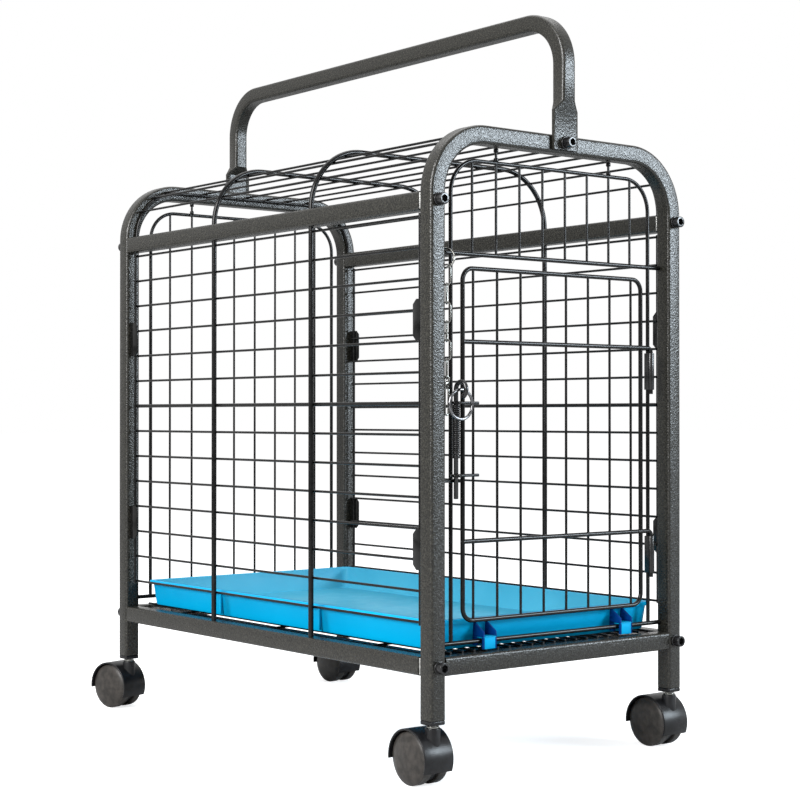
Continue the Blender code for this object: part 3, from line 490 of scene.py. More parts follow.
class Paint:
    """A material with its nodes laid out one by one."""

    def __init__(self, name):
        self.material = bpy.data.materials.new(name)
        self.material.use_nodes = True
        self.nodes = self.material.node_tree.nodes
        self.links = self.material.node_tree.links
        self.shader = self.nodes["Principled BSDF"]
        self.place = self.nodes.new("ShaderNodeTexCoord").outputs["Object"]

    def set(self, **values):
        for name, value in values.items():
            self.shader.inputs[name.replace("_", " ")].default_value = value

    def join(self, start, end):
        self.links.new(start, end)

    def noise(self, scale, detail=2.0, rough=0.5):
        node = self.nodes.new("ShaderNodeTexNoise")
        node.inputs["Scale"].default_value = scale
        node.inputs["Detail"].default_value = detail
        node.inputs["Roughness"].default_value = rough
        self.join(self.place, node.inputs["Vector"])
        return node.outputs["Fac"]

    def dimples(self, scale):
        node = self.nodes.new("ShaderNodeTexVoronoi")
        node.feature = "SMOOTH_F1"
        node.inputs["Scale"].default_value = scale
        self.join(self.place, node.inputs["Vector"])
        return node.outputs["Distance"]

    def colour(self, source, stops):
        """Mixes the base colour from a pattern."""
        node = self.nodes.new("ShaderNodeValToRGB")
        ramp = node.color_ramp
        while len(ramp.elements) < len(stops):
            ramp.elements.new(0.5)
        for element, (position, tint) in zip(ramp.elements, stops):
            element.position = position
            element.color = (*tint, 1.0)
        self.join(source, node.inputs["Fac"])
        self.join(node.outputs["Color"], self.shader.inputs["Base Color"])

    def roughness(self, source, low, high):
        """Spreads the roughness over a pattern."""
        node = self.nodes.new("ShaderNodeMapRange")
        node.inputs["From Min"].default_value = 0.3
        node.inputs["From Max"].default_value = 0.7
        node.inputs["To Min"].default_value = low
        node.inputs["To Max"].default_value = high
        self.join(source, node.inputs["Value"])
        self.join(node.outputs["Result"], self.shader.inputs["Roughness"])

    def bump(self, source, strength, depth, under=None):
        """Raises the surface by a pattern, over an earlier bump where there is one."""
        node = self.nodes.new("ShaderNodeBump")
        node.inputs["Strength"].default_value = strength
        node.inputs["Distance"].default_value = depth
        self.join(source, node.inputs["Height"])
        if under is not None:
            self.join(under, node.inputs["Normal"])
        self.join(node.outputs["Normal"], self.shader.inputs["Normal"])
        return node.outputs["Normal"]


def make_hammered_coat():
    """Dark olive powder coat with fine hammered dimples."""
    paint = Paint("hammered_coat")
    paint.set(Metallic=0.0, IOR=1.55, Specular_IOR_Level=0.30)
    dark = (0.004, 0.0039, 0.0031)
    middle = (0.0105, 0.0100, 0.0078)
    light = (0.026, 0.025, 0.020)
    paint.colour(paint.noise(620.0, 2.0, 0.6), [(0.36, dark), (0.52, middle), (0.66, light)])
    paint.roughness(paint.noise(500.0, 2.0), 0.20, 0.36)
    coarse = paint.bump(paint.dimples(760.0), 0.42, 0.0006)
    paint.bump(paint.noise(1300.0, 2.0), 0.35, 0.0003, coarse)
    return paint.material


def make_gloss_wire():
    """Glossy black dip coat of the wires."""
    paint = Paint("gloss_wire")
    paint.set(Metallic=0.0, IOR=1.45, Specular_IOR_Level=0.2)
    paint.colour(paint.noise(140.0, 3.0), [(0.35, (0.0025, 0.0025, 0.0025)), (0.65, (0.006, 0.006, 0.006))])
    paint.roughness(paint.noise(220.0, 2.0), 0.12, 0.22)
    paint.bump(paint.noise(400.0, 2.0), 0.06, 0.0002)
    return paint.material


def make_black_plate():
    """Black plating of screws, sleeves, latch rod and spring."""
    paint = Paint("black_plate")
    paint.set(Metallic=0.0, IOR=1.5, Specular_IOR_Level=0.4)
    paint.colour(paint.noise(260.0, 4.0), [(0.35, (0.003, 0.003, 0.003)), (0.7, (0.009, 0.009, 0.010))])
    paint.roughness(paint.noise(180.0, 3.0), 0.16, 0.30)
    paint.bump(paint.noise(700.0, 2.0), 0.18, 0.0003)
    return paint.material


def make_bare_metal(name, tint, low, high, grain):
    """Plated or bare steel with a fine grain."""
    paint = Paint(name)
    paint.set(Metallic=1.0)
    shade = tuple(channel * 0.78 for channel in tint)
    paint.colour(paint.noise(grain, 3.0), [(0.35, shade), (0.65, tint)])
    paint.roughness(paint.noise(grain * 1.7, 3.0), low, high)
    paint.bump(paint.noise(grain * 3, 2.0), 0.1, 0.0002)
    return paint.material


def make_nylon(name, dark, light, low, high, relief):
    """Moulded black nylon of the castors and leg plugs."""
    paint = Paint(name)
    paint.set(Metallic=0.0, IOR=1.5, Specular_IOR_Level=0.24)
    paint.colour(paint.noise(160.0, 3.0), [(0.35, dark), (0.68, light)])
    paint.roughness(paint.noise(90.0, 3.0), low, high)
    paint.bump(paint.noise(1100.0, 2.0), relief, 0.0002)
    return paint.material


def make_blue_plastic(name, deep, pale):
    """Satin moulded plastic of the tray."""
    paint = Paint(name)
    paint.set(Metallic=0.0, IOR=1.45, Specular_IOR_Level=0.08)
    paint.set(Subsurface_Weight=0.05, Subsurface_Scale=0.004)
    paint.colour(paint.noise(9.0, 4.0), [(0.3, deep), (0.7, pale)])
    paint.roughness(paint.noise(60.0, 3.0), 0.38, 0.5)
    paint.bump(paint.noise(800.0, 2.0), 0.1, 0.0002)
    return paint.material


COAT = make_hammered_coat()
WIRE = make_gloss_wire()
PLATE = make_black_plate()
ZINC = make_bare_metal("zinc_plate", (0.70, 0.70, 0.68), 0.22, 0.36, 300.0)
SPACER = make_bare_metal("pale_spacer", (0.62, 0.62, 0.60), 0.4, 0.55, 300.0)
DARK_CHROME = make_bare_metal("dark_chrome", (0.16, 0.16, 0.165), 0.10, 0.18, 200.0)
CHAIN = make_bare_metal("chain_steel", (0.24, 0.24, 0.225), 0.12, 0.22, 260.0)
NYLON = make_nylon("black_nylon_body", (0.003, 0.003, 0.0035), (0.008, 0.008, 0.009), 0.26, 0.36, 0.14)
TREAD = make_nylon("black_nylon_tread", (0.016, 0.0145, 0.013), (0.034, 0.030, 0.027), 0.30, 0.42, 0.2)
BLUE = make_blue_plastic("blue_tray_plastic", (0.0, 0.265, 0.50), (0.0, 0.305, 0.56))
# The tray's inside skin: a greyer blue, painted sheen and light of the tray's inside
BLUE_PAINTED_SHEEN = make_blue_plastic("blue_inner_painted_sheen", (0.035, 0.245, 0.37), (0.055, 0.29, 0.42))
# Darker blue of the clip fins: painted shade on their sides
BLUE_PAINTED_SHADE = make_blue_plastic("blue_clip_painted_shade", (0.0, 0.022, 0.12), (0.0, 0.032, 0.16))


# Frame tubes


def end_frame(side):
    """Both posts and the top of one end, bent from a single tube."""
    y = side * POST_Y
    bend_x = POST_X - FRAME_BEND
    bend_z = TOP_Z - TUBE / 2 - FRAME_BEND
    square((-POST_X, y, FOOT_Z), (0, 0, 1), TUBE)
    push((0, 0, bend_z - FOOT_Z))
    swing((-bend_x, y, bend_z), (0, 1, 0), 90, 28)
    push((2 * bend_x, 0, 0))
    swing((bend_x, y, bend_z), (0, 1, 0), 90, 28)
    push((0, 0, FOOT_Z - bend_z))
    return done()


def straight_tube(at, vector):
    """A square tube from one place along a vector."""
    square(at, vector, TUBE)
    push(vector)
    return done()


def carrying_handle():
    """One square tube, bent over the roof, with both feet pressed flat."""
    bend_y = GRIP_Y - GRIP_BEND
    bend_z = GRIP_TOP_Z - GRIP / 2 - GRIP_BEND
    square((0, -PLATE_Y, PLATE_END_Z), (0, 0, 1), GRIP)
    bpy.ops.transform.resize(value=(PLATE_WIDTH / GRIP, PLATE_THICK / GRIP, 1))
    push((0, 0, PLATE_TOP_Z - PLATE_END_Z))
    push((0, PLATE_Y - GRIP_Y, GRIP_LEG_END_Z - PLATE_TOP_Z))
    bpy.ops.transform.resize(value=(GRIP / PLATE_WIDTH, GRIP / PLATE_THICK, 1))
    push((0, 0, bend_z - GRIP_LEG_END_Z))
    swing((0, -bend_y, bend_z), (-1, 0, 0), 90, 28)
    push((0, 2 * bend_y, 0))
    swing((0, bend_y, bend_z), (-1, 0, 0), 90, 28)
    push((0, 0, GRIP_LEG_END_Z - bend_z))
    push((0, PLATE_Y - GRIP_Y, PLATE_TOP_Z - GRIP_LEG_END_Z))
    bpy.ops.transform.resize(value=(PLATE_WIDTH / GRIP, PLATE_THICK / GRIP, 1))
    push((0, 0, PLATE_END_Z - PLATE_TOP_Z))
    return done()


def cap_screw(collar, height):
    """Standing on z = 0: a collar, and a cap head with a hex socket."""
    radius, foot = collar
    top = foot + height
    washer = soften(upright(0, 0, (0, foot), radius, 28), SMALL_EDGE)
    head = soften(upright(0, 0, (foot, top), SCREW_HEAD, 30), EASED_EDGE)
    socket = upright(0, 0, (top - SCREW_SOCKET_DEPTH, top + SCREW_SOCKET_DEPTH), SCREW_SOCKET, 6)
    cut = head.modifiers.new("socket", "BOOLEAN")
    cut.operation = "DIFFERENCE"
    cut.object = socket
    apply(head, cut)
    discard(socket)
    return welded([washer, head])


def facing_out(x, side, y, z):
    """The place of a screw on one end of the crate, with its head outwards."""
    return Matrix.Translation((x, side * y, z)) @ Matrix.Rotation(math.radians(90) * -side, 4, "X")


def make_tubes():
    piece([end_frame(-1)], "front_frame_tube", COAT, "root", ["front_frame"])
    piece([end_frame(1)], "rear_frame_tube", COAT, "root", ["rear_frame"])
    for side, hand in ((-1, "left"), (1, "right")):
        for z, level in ((UPPER_Z, "upper"), (LOWER_Z, "lower")):
            rail = straight_tube((side * POST_X, -RAIL_END_Y, z), (0, 2 * RAIL_END_Y, 0))
            piece([rail], f"side_rail_tube_{level}_{hand}", COAT, "root", [f"side_rail_{level}_{hand}"])
    for side, end in ((-1, "front"), (1, "rear")):
        rail = straight_tube((-INNER_X, side * POST_Y, LOWER_Z), (2 * INNER_X, 0, 0))
        piece([rail], f"{end}_cross_rail_tube", COAT, "root", [f"{end}_cross_rail"])


def make_spacers():
    """A thin pale plate between each rail's end and its post."""
    spacers = []
    half = TUBE / 2 - SPACER_INSET
    inner = RAIL_END_Y - SPACER_LAP
    for x in (-POST_X, POST_X):
        for z in (LOWER_Z, UPPER_Z):
            for low, high in ((-INNER_Y, -inner), (inner, INNER_Y)):
                spacers.append(block((x - half, low, z - half), (x + half, high, z + half), FINE_EDGE))
    piece(spacers, "rail_end_spacers", SPACER, "root")


def make_screws():
    screw = cap_screw(FRAME_COLLAR, FRAME_SCREW_HEIGHT)
    bolts = []
    names = []
    for side, end in ((-1, "front"), (1, "rear")):
        for x, hand in ((-POST_X, "left"), (POST_X, "right")):
            for z, level in ((LOWER_Z, "lower"), (UPPER_Z, "upper")):
                bolts.append(copy(screw, facing_out(x, side, OUTER_Y + FRAME_SCREW_GAP, z)))
                names.append(f"bolt_{end}_{level}_{hand}")
    piece(bolts, "frame_bolts", PLATE, "root", names)
    discard(screw)
    screw = cap_screw(HANDLE_COLLAR, HANDLE_SCREW_HEIGHT)
    bolts = [copy(screw, facing_out(0, side, HANDLE_SCREW_Y, HANDLE_SCREW_Z)) for side in (-1, 1)]
    piece(bolts, "handle_bolts", PLATE, "root", ["handle_bolt_front", "handle_bolt_rear"])
    discard(screw)


def make_frame():
    make_tubes()
    make_spacers()
    piece([carrying_handle()], "carrying_handle", COAT, "root", ["handle"])
    make_screws()


# Wire panels


def lock_tab(x, end, low, high):
    """A flat tab beside a post, with its two inner corners cut."""
    inner = end * (INNER_Y - TAB_WIDTH)
    near, far = sorted((end * INNER_Y, inner))
    tab = block((x - TAB_THICK / 2, near, low), (x + TAB_THICK / 2, far, high))

    def cut_edge(line):
        a, b = (tab.matrix_world @ tab.data.vertices[i].co for i in line.vertices)
        return abs(a.x - b.x) > NEAR and max(abs(a.y - inner), abs(b.y - inner)) < NEAR

    choose(tab, "EDGE", cut_edge)
    bpy.ops.mesh.bevel(offset=TAB_CORNER, segments=1, affect="EDGES")
    bpy.ops.object.mode_set(mode="OBJECT")
    return soften(tab, FINE_EDGE, 2)


def side_wire(x, row, radius):
    """One level wire of a side grille, counted down from the top."""
    z = SIDE_TOP_Z - row * SIDE_PITCH
    return rod((x, -SIDE_REACH, z), (x, SIDE_REACH, z), radius)


def make_side_grilles():
    down = (0, 0, -SIDE_PITCH)
    waist_row = WIRES_ABOVE_WAIST
    last = SIDE_TOP_Z - (WIRES_ABOVE_WAIST + WIRES_BELOW_WAIST) * SIDE_PITCH
    stay_z = (last - STAY_OVERHANG, SIDE_TOP_Z + STAY_OVERHANG)
    for side, hand in ((-1, "left"), (1, "right")):
        x = side * SIDE_X
        stay_x = side * (SIDE_X + THIN + STAY - BITE)
        upright_x = side * (SIDE_X + THIN + HOOP - BITE)
        tab_x = stay_x + side * (STAY + TAB_THICK / 2 - GAP)
        parts = [repeat(side_wire(x, 0, THIN), WIRES_ABOVE_WAIST, down),
                 repeat(side_wire(x, waist_row + 1, THIN), WIRES_BELOW_WAIST, down),
                 side_wire(x, waist_row, WAIST)]
        for end in (-1, 1):
            parts.append(upright(stay_x, end * STAY_Y, stay_z, STAY))
            parts.append(upright(upright_x, end * HOOP_Y, UPRIGHT_Z, HOOP, 18))
            parts += [lock_tab(tab_x, end, low, high) for low, high in TAB_Z]
        piece(parts, f"side_wire_grille_{hand}", WIRE, "root", [f"side_grille_{hand}"])


def arch(y, radius, wire):
    """A hoop across the roof, bent down at both sides."""
    centre_z = ROOF_BEND_Z + ARCH_FOOT
    circle((-ROOF_BEND_X - radius, y, ROOF_BEND_Z), (0, 0, 1), wire, 18)
    push((0, 0, ARCH_FOOT))
    swing((-ROOF_BEND_X, y, centre_z), (0, 1, 0), 90, 22)
    push((2 * ROOF_BEND_X, 0, 0))
    swing((ROOF_BEND_X, y, centre_z), (0, 1, 0), 90, 22)
    push((0, 0, -ARCH_FOOT))
    return done()


def make_roof():
    first = -ROOF_PITCH * (ROOF_FLAT_WIRES - 1) / 2
    flat = rod((first, -INNER_Y, ROOF_Z), (first, INNER_Y, ROOF_Z), THIN)
    parts = [repeat(flat, ROOF_FLAT_WIRES, (ROOF_PITCH, 0, 0))]
    for angle in ROOF_SIDE_ANGLES:
        x = ROOF_BEND_X + ROOF_BEND * math.sin(math.radians(angle))
        z = ROOF_BEND_Z + ROOF_BEND * math.cos(math.radians(angle))
        for side in (-1, 1):
            parts.append(rod((side * x, -INNER_Y, z), (side * x, INNER_Y, z), THIN))
    for side in (-1, 1):
        parts.append(arch(side * HOOP_Y, ROOF_BEND + THIN + HOOP - BITE, HOOP))
        parts.append(arch(side * (INNER_Y - END_HOOP), ROOF_BEND - THIN - END_HOOP + BITE, END_HOOP))
    piece(parts, "roof_wire_grille", WIRE, "root", ["roof_grille"])


def cross_bar(y, z):
    """A level bar from post to post."""
    return rod((-INNER_X, y, z), (INNER_X, y, z), BAR, 16)


def panel_outline(y):
    """The wire round an end panel, open at the bottom bar."""
    bend_x = PANEL_X - PANEL_BEND
    bend_z = PANEL_TOP - PANEL_BEND
    circle((-PANEL_X, y, BOTTOM_BAR_Z), (0, 0, 1), OUTLINE)
    push((0, 0, bend_z - BOTTOM_BAR_Z))
    swing((-bend_x, y, bend_z), (0, 1, 0), 90, 14)
    push((2 * bend_x, 0, 0))
    swing((bend_x, y, bend_z), (0, 1, 0), 90, 14)
    push((0, 0, BOTTOM_BAR_Z - bend_z))
    return done()


def upright_wires(y, low, high):
    """The row of upright wires of a panel or the door."""
    return repeat(upright(FIRST_WIRE_X, y, (low, high), THIN), PANEL_WIRES, (WIRE_PITCH, 0, 0))


def panel_parts(y, foot):
    """An end panel: outline, bottom bar, upright wires, and two hangers with beads."""
    parts = [panel_outline(y), cross_bar(y, BOTTOM_BAR_Z), upright_wires(y, foot, PANEL_TOP)]
    for x in (FIRST_WIRE_X + WIRE_PITCH, FIRST_WIRE_X + (PANEL_WIRES - 2) * WIRE_PITCH):
        parts.append(upright(x, y, (PANEL_TOP, HANGER_TOP_Z), THIN))
        for z in BEAD_Z:
            parts.append(soften(upright(x, y, (z - BEAD_HALF, z + BEAD_HALF), BEAD_RADIUS), BEAD_EDGE))
    return parts


def make_panels():
    front = [*panel_parts(-PANEL_Y, CROSSBAR_Z), cross_bar(-PANEL_Y, CROSSBAR_Z)]
    piece(front, "front_wire_panel", WIRE, "root", ["front_panel"])
    piece(panel_parts(PANEL_Y, BOTTOM_BAR_Z), "rear_wire_panel", WIRE, "root", ["rear_panel"])


# Door, latch and chain


def staple(z):
    """A wire out to the latch rod and round it in an eye."""
    circle((STAPLE_END_X, STAPLE_Y, z), (-1, 0, 0), STAPLE)
    push((LATCH_X - STAPLE_END_X, 0, 0))
    swing((LATCH_X, LATCH_Y, z), (0, 0, 1), STAPLE_TURN, 30)
    return done()


def door_outline():
    """The door's bar, bent round all four corners from the middle of its left upright."""
    left, right = DOOR_X
    low, high = DOOR_Z
    half = (high - low) / 2 - DOOR_BEND
    width = right - left - 2 * DOOR_BEND
    circle((left, DOOR_Y, (low + high) / 2), (0, 0, 1), BAR, 16)
    push((0, 0, half))
    swing((left + DOOR_BEND, DOOR_Y, high - DOOR_BEND), (0, 1, 0), 90, 10)
    push((width, 0, 0))
    swing((right - DOOR_BEND, DOOR_Y, high - DOOR_BEND), (0, 1, 0), 90, 10)
    push((0, 0, -2 * half))
    swing((right - DOOR_BEND, DOOR_Y, low + DOOR_BEND), (0, 1, 0), 90, 10)
    push((-width, 0, 0))
    swing((left + DOOR_BEND, DOOR_Y, low + DOOR_BEND), (0, 1, 0), 90, 10)
    push((0, 0, half))
    return done()


def hinge_bar(z):
    """A bar across the door that turns down into its hinge sleeve."""
    start = DOOR_X[0] - BAR
    circle((start, HINGE_Y, z), (1, 0, 0), BAR, 16)
    push((HINGE_X - PIN_BEND - start, 0, 0))
    swing((HINGE_X - PIN_BEND, HINGE_Y, z - PIN_BEND), (0, 1, 0), 90, 10)
    push((0, 0, PIN_BEND - PIN_DROP))
    return done()


def make_door():
    parts = [door_outline(), upright_wires(DOOR_Y, *DOOR_Z)]
    parts += [hinge_bar(z) for z in HINGE_Z]
    parts += [staple(z) for z in STAPLE_Z]
    piece(parts, "door_wire_frame", WIRE, "door", ["door"])


def hinge_sleeve(top):
    """A sheet sleeve round a hinge pin and the panel's upright."""
    spread = -PANEL_Y - HINGE_Y
    unselect()
    bpy.ops.mesh.primitive_circle_add(vertices=32, radius=SLEEVE_RADIUS, fill_type="NOTHING",
                                      location=(HINGE_X, -PANEL_Y, top - SLEEVE_HEIGHT))
    sleeve = bpy.context.object
    for vertex in sleeve.data.vertices:
        if vertex.co.y < NEAR:
            vertex.co.y -= spread
    edit()
    bpy.ops.mesh.select_mode(type="EDGE")
    bpy.ops.mesh.select_all(action="SELECT")
    push((0, 0, SLEEVE_HEIGHT))
    done()
    wall = sleeve.modifiers.new("sheet", "SOLIDIFY")
    wall.thickness = SLEEVE_WALL
    wall.offset = -1
    apply(sleeve, wall)
    return soften(sleeve, SHEET_EDGE, 2)


def make_hinge_sleeves():
    sleeves = [hinge_sleeve(z - SLEEVE_DROP) for z in HINGE_Z]
    piece(sleeves, "hinge_sleeves", PLATE, "root", ["hinge_clip_upper", "hinge_clip_lower"])


def make_latch_rod():
    circle((LATCH_X, LATCH_Y, LATCH_FOOT_Z), (0, 0, 1), BAR, 18)
    push((0, 0, CROOK_Z - LATCH_FOOT_Z))
    swing((LATCH_X, RING_Y, CROOK_Z), (1, 0, 0), CROOK_TURN, 26)
    bolt = soften(done(), EASED_EDGE, 2, 50)
    collar = soften(upright(LATCH_X, LATCH_Y, COLLAR_Z, COLLAR, 24), SMALL_EDGE)
    piece([bolt, collar], "latch_rod", PLATE, "latch", ["latch_bolt"])


def make_latch_spring():
    """A close coil round the rod. The real spring shortens as the latch is lifted; this coil keeps one
    length.
    """
    low, high = COIL_Z
    unselect()
    bpy.ops.mesh.primitive_circle_add(vertices=8, radius=COIL_WIRE, fill_type="NOTHING",
                                      location=(LATCH_X, LATCH_Y, low), rotation=ON_EDGE)
    spring = bpy.context.object
    activate(spring)
    bpy.ops.object.transform_apply(location=False, rotation=True, scale=True)
    spring.data.transform(Matrix.Translation((COIL, 0, 0)))
    helix = spring.modifiers.new("turns", "SCREW")
    helix.axis = "Z"
    helix.angle = 2 * math.pi * COIL_TURNS
    helix.steps = helix.render_steps = 20 * COIL_TURNS
    helix.screw_offset = high - low
    helix.use_merge_vertices = False
    apply(spring, helix)
    edit()
    bpy.ops.mesh.fill_holes(sides=0)
    made = piece([done()], "latch_coil_spring", PLATE, "door", ["latch_spring"], smooth=60)
    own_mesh(made)


def make_latch():
    make_latch_rod()
    make_latch_spring()
    pull = ring((LATCH_X, RING_Y, CROOK_Z - PULL_RING), ON_EDGE, PULL_RING, STAPLE, 56, 14)
    piece([pull], "latch_pull_ring", DARK_CHROME, "latch", ["pull_ring"])
    circle((-INNER_X, STAPLE_Y, KEEPER_Z), (1, 0, 0), STAPLE)
    push((INNER_X + LATCH_X, 0, 0))
    swing((LATCH_X, LATCH_Y, KEEPER_Z), (0, 0, -1), 90, 10)
    push((0, -STAPLE, 0))
    piece([done()], "latch_keeper_wire", WIRE, "root", ["latch_keeper"])


def link(at, turn):
    """A straight-sided chain link."""
    straight = LINK_HALF_LENGTH - LINK_HALF_WIDTH
    circle((-LINK_HALF_WIDTH, 0, 0), (0, 0, 1), LINK_WIRE, 12)
    push((0, 0, straight))
    swing((0, 0, straight), (0, 1, 0), 180, 12)
    push((0, 0, -2 * straight))
    swing((0, 0, -straight), (0, 1, 0), 180, 12)
    push((0, 0, straight))
    done()
    edit()
    bpy.ops.mesh.remove_doubles(threshold=MERGE)
    shape = done()
    made = copy(shape, Matrix.Translation(at) @ Matrix.Rotation(turn, 4, "Z"))
    discard(shape)
    return made


def make_anchor_ring():
    """The ring that hangs the chain from the panel's crossbar."""
    drop = 2 * ANCHOR - BAR - ANCHOR_WIRE - GAP
    lean = -(CHAIN_Y + PANEL_Y) / drop
    down = Vector((0, -lean, -math.sqrt(1 - lean * lean)))
    centre = Vector((CHAIN_X, -PANEL_Y, CROSSBAR_Z)) + down * (drop - ANCHOR)
    across = Vector(ANCHOR_ACROSS)
    across = (across - down * across.dot(down)).normalized()
    made = ring(centre, towards(down.cross(across)), ANCHOR, ANCHOR_WIRE, 44, 12)
    piece([made], "chain_anchor_ring", CHAIN, "root", ["chain_anchor"])


def make_links():
    z = CHAIN_TOP + ANCHOR_WIRE + 2 * LINK_WIRE - LINK_HALF_LENGTH
    step = 2 * (LINK_HALF_LENGTH - LINK_WIRE) + BITE
    links = []
    for i in range(LINKS):
        turn = math.radians(45 if i % 2 else -45)
        links.append(link((CHAIN_X, CHAIN_Y, z - i * step), turn))
    piece(links, "chain_links", CHAIN, "chain", ["chain"])


def make_snap_hook():
    """An eye, a neck block, and an open hook that its gate closes."""
    eye_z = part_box("snap_hook")[1][2] - HOOK_EYE - HOOK_WIRE
    neck = eye_z - HOOK_EYE
    turn_z = neck - HOOK_LENGTH + HOOK_BEND
    start = (CHAIN_X - HOOK_HALF_WIDTH, CHAIN_Y, neck - HOOK_START)
    parts = [ring((CHAIN_X, CHAIN_Y, eye_z), ON_EDGE, HOOK_EYE, HOOK_WIRE, 28, 12)]
    circle(start, (0, 0, -1), HOOK_WIRE, 12)
    push((0, 0, turn_z - start[2]))
    swing((start[0] + HOOK_BEND, CHAIN_Y, turn_z), (0, -1, 0), 180, 14)
    push((0, 0, HOOK_TIP))
    parts.append(done())
    half_x, half_y = NECK_HALF
    low, high = NECK_Z
    parts.append(block((CHAIN_X - half_x, CHAIN_Y - half_y, neck + low),
                       (CHAIN_X + half_x, CHAIN_Y + half_y, neck + high), NECK_EDGE))
    piece(parts, "snap_hook_body", CHAIN, "chain", ["snap_hook"])


def make_snap_gate():
    low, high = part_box("snap_gate")
    gate = upright(CHAIN_X + HOOK_HALF_WIDTH, CHAIN_Y, (low[2], high[2]), HOOK_WIRE)
    gate = soften(gate, PIN_EDGE, 2, 50)
    piece([gate], "snap_gate_bar", CHAIN, "gate", ["snap_gate"])


def make_chain():
    make_anchor_ring()
    make_links()
    make_snap_hook()
    make_snap_gate()


# Floor and tray


def make_floor():
    first = -FLOOR_PITCH * (FLOOR_WIRES - 1) / 2
    tie_z = FLOOR_Z - TIE_DROP
    wire = rod((first, -FLOOR_REACH, FLOOR_Z), (first, FLOOR_REACH, FLOOR_Z), FLOOR_WIRE, 10)
    wires = repeat(wire, FLOOR_WIRES, (FLOOR_PITCH, 0, 0))
    tie = rod((-INNER_X, -TIE_Y, tie_z), (INNER_X, -TIE_Y, tie_z), FLOOR_WIRE, 10)
    ties = repeat(tie, 3, (0, TIE_Y, 0))
    piece([wires, ties], "floor_wire_grille", WIRE, "root", ["floor_grille"])


def make_painted_shade_strips():
    """Narrow dark strips inside the lower rails, under the floor wires' edges: a dark sheet that paints the
    shade seen between the wires.
    """
    low, high = SHADE_STRIP_Z
    shade_strips = [block((-INNER_X, -SHADE_STRIP_END_Y, low), (INNER_X, SHADE_STRIP_FRONT_Y, high), FINE_EDGE)]
    for x in (-SHADE_STRIP_X, SHADE_STRIP_X):
        near, far = x - SHADE_STRIP_HALF, x + SHADE_STRIP_HALF
        shade_strips.append(block((near, SHADE_STRIP_FRONT_Y, low), (far, SHADE_STRIP_END_Y, high), FINE_EDGE))
    piece(shade_strips, "floor_painted_shade_strips", WIRE, "root")


def tray_section(inset, z):
    """The tray's outline at one inset, as a flat face in edit mode."""
    unselect()
    bpy.ops.mesh.primitive_plane_add(size=1, location=(0, TRAY_Y, z))
    flat = bpy.context.object
    flat.dimensions = (2 * (TRAY_HALF_X - inset), 2 * (TRAY_HALF_Y - inset), 0)
    bpy.ops.object.transform_apply(location=False, rotation=False, scale=True)
    edit()
    bpy.ops.mesh.bevel(offset=TRAY_CORNER - inset, segments=10, affect="VERTICES")
    bpy.ops.mesh.select_all(action="SELECT")


def tray_walls(stages):
    """Raises the tray's outline through insets and heights."""
    tray_section(*stages[0])
    for (old, z), (new, next_z) in zip(stages, stages[1:]):
        push((0, 0, next_z - z))
        width = (TRAY_HALF_X - new) / (TRAY_HALF_X - old)
        length = (TRAY_HALF_Y - new) / (TRAY_HALF_Y - old)
        bpy.ops.transform.resize(value=(width, length, 1), center_override=(0, TRAY_Y, 0),
                                 constraint_axis=(True, True, False))
    return done()


def clip_fin(x):
    """One upright fin of a tray clip, notched over the panel's bottom bar."""
    data = bpy.data.meshes.new("fin")
    data.from_pydata([(x, y, z) for y, z in FIN_OUTLINE], [], [tuple(range(len(FIN_OUTLINE)))])
    fin = bpy.data.objects.new("fin", data)
    bpy.context.scene.collection.objects.link(fin)
    activate(fin)
    edit()
    push((FIN_THICK, 0, 0))
    done()
    return soften(fin, FINE_EDGE, 2)


def tray_clips():
    """Two hooks over the panel's bottom bar: the blue plates, and the fins at their sides, whose darker blue
    is painted shade.
    """
    plates = []
    fins = []
    shelf, top = CLIP_SHELF_Z
    inset = FIN_THICK - FIN_LAP
    for x in CLIP_X:
        left = x - CLIP_WIDTH / 2
        right = x + CLIP_WIDTH / 2
        lip = (right - inset, CLIP_LIP_Y, top)
        plates.append(block((left + inset, CLIP_FRONT_Y, CLIP_FOOT_Z), lip, SMALL_EDGE, 2))
        plates.append(block((left, CLIP_FRONT_Y, shelf), (right, CLIP_BACK_Y, top), SMALL_EDGE, 2))
        fins += [clip_fin(left), clip_fin(right - FIN_THICK)]
    return plates, fins


def tray_ribs():
    half_x, half_y = RIB_HALF
    low, high = RIB_Z
    ribs = []
    for x in (-RIB_X, RIB_X):
        for y in RIB_Y:
            corners = (x - half_x, y - half_y, low), (x + half_x, y + half_y, high)
            ribs.append(block(*corners, EASED_EDGE, 2))
    return ribs


def make_tray():
    walls = tray_walls(TRAY_WALLS)
    plates, fins = tray_clips()
    piece([walls, *plates, *tray_ribs()], "blue_tray_shell", BLUE, "root", ["tray"])
    # The fins' darker blue is painted shade
    piece(fins, "tray_clip_fins_painted_shade", BLUE_PAINTED_SHADE, "root")


def make_tray_sheen_skin():
    """A thin skin over the tray's inside, open at the top, in a greyer blue that is painted sheen and light
    of the inside.
    """
    skin = tray_walls(SHEEN_SKIN_WALLS)
    highest = max(vertex.co.z for vertex in skin.data.vertices)

    def lid(face):
        return all(skin.data.vertices[i].co.z > highest - NEAR for i in face.vertices)

    choose(skin, "FACE", lid)
    bpy.ops.mesh.delete(type="FACE")
    bpy.ops.mesh.select_all(action="SELECT")
    bpy.ops.mesh.flip_normals()
    bpy.ops.object.mode_set(mode="OBJECT")
    piece([skin], "blue_tray_sheen_skin", BLUE_PAINTED_SHEEN, "root")


# Castors


def castor_place(corner):
    x = POST_X if corner.endswith("right") else -POST_X
    y = POST_Y if corner.startswith("rear") else -POST_Y
    return Matrix.Translation((x, y, 0)) @ Matrix.Rotation(math.radians(CORNER_TURNS[corner]), 4, "Z")


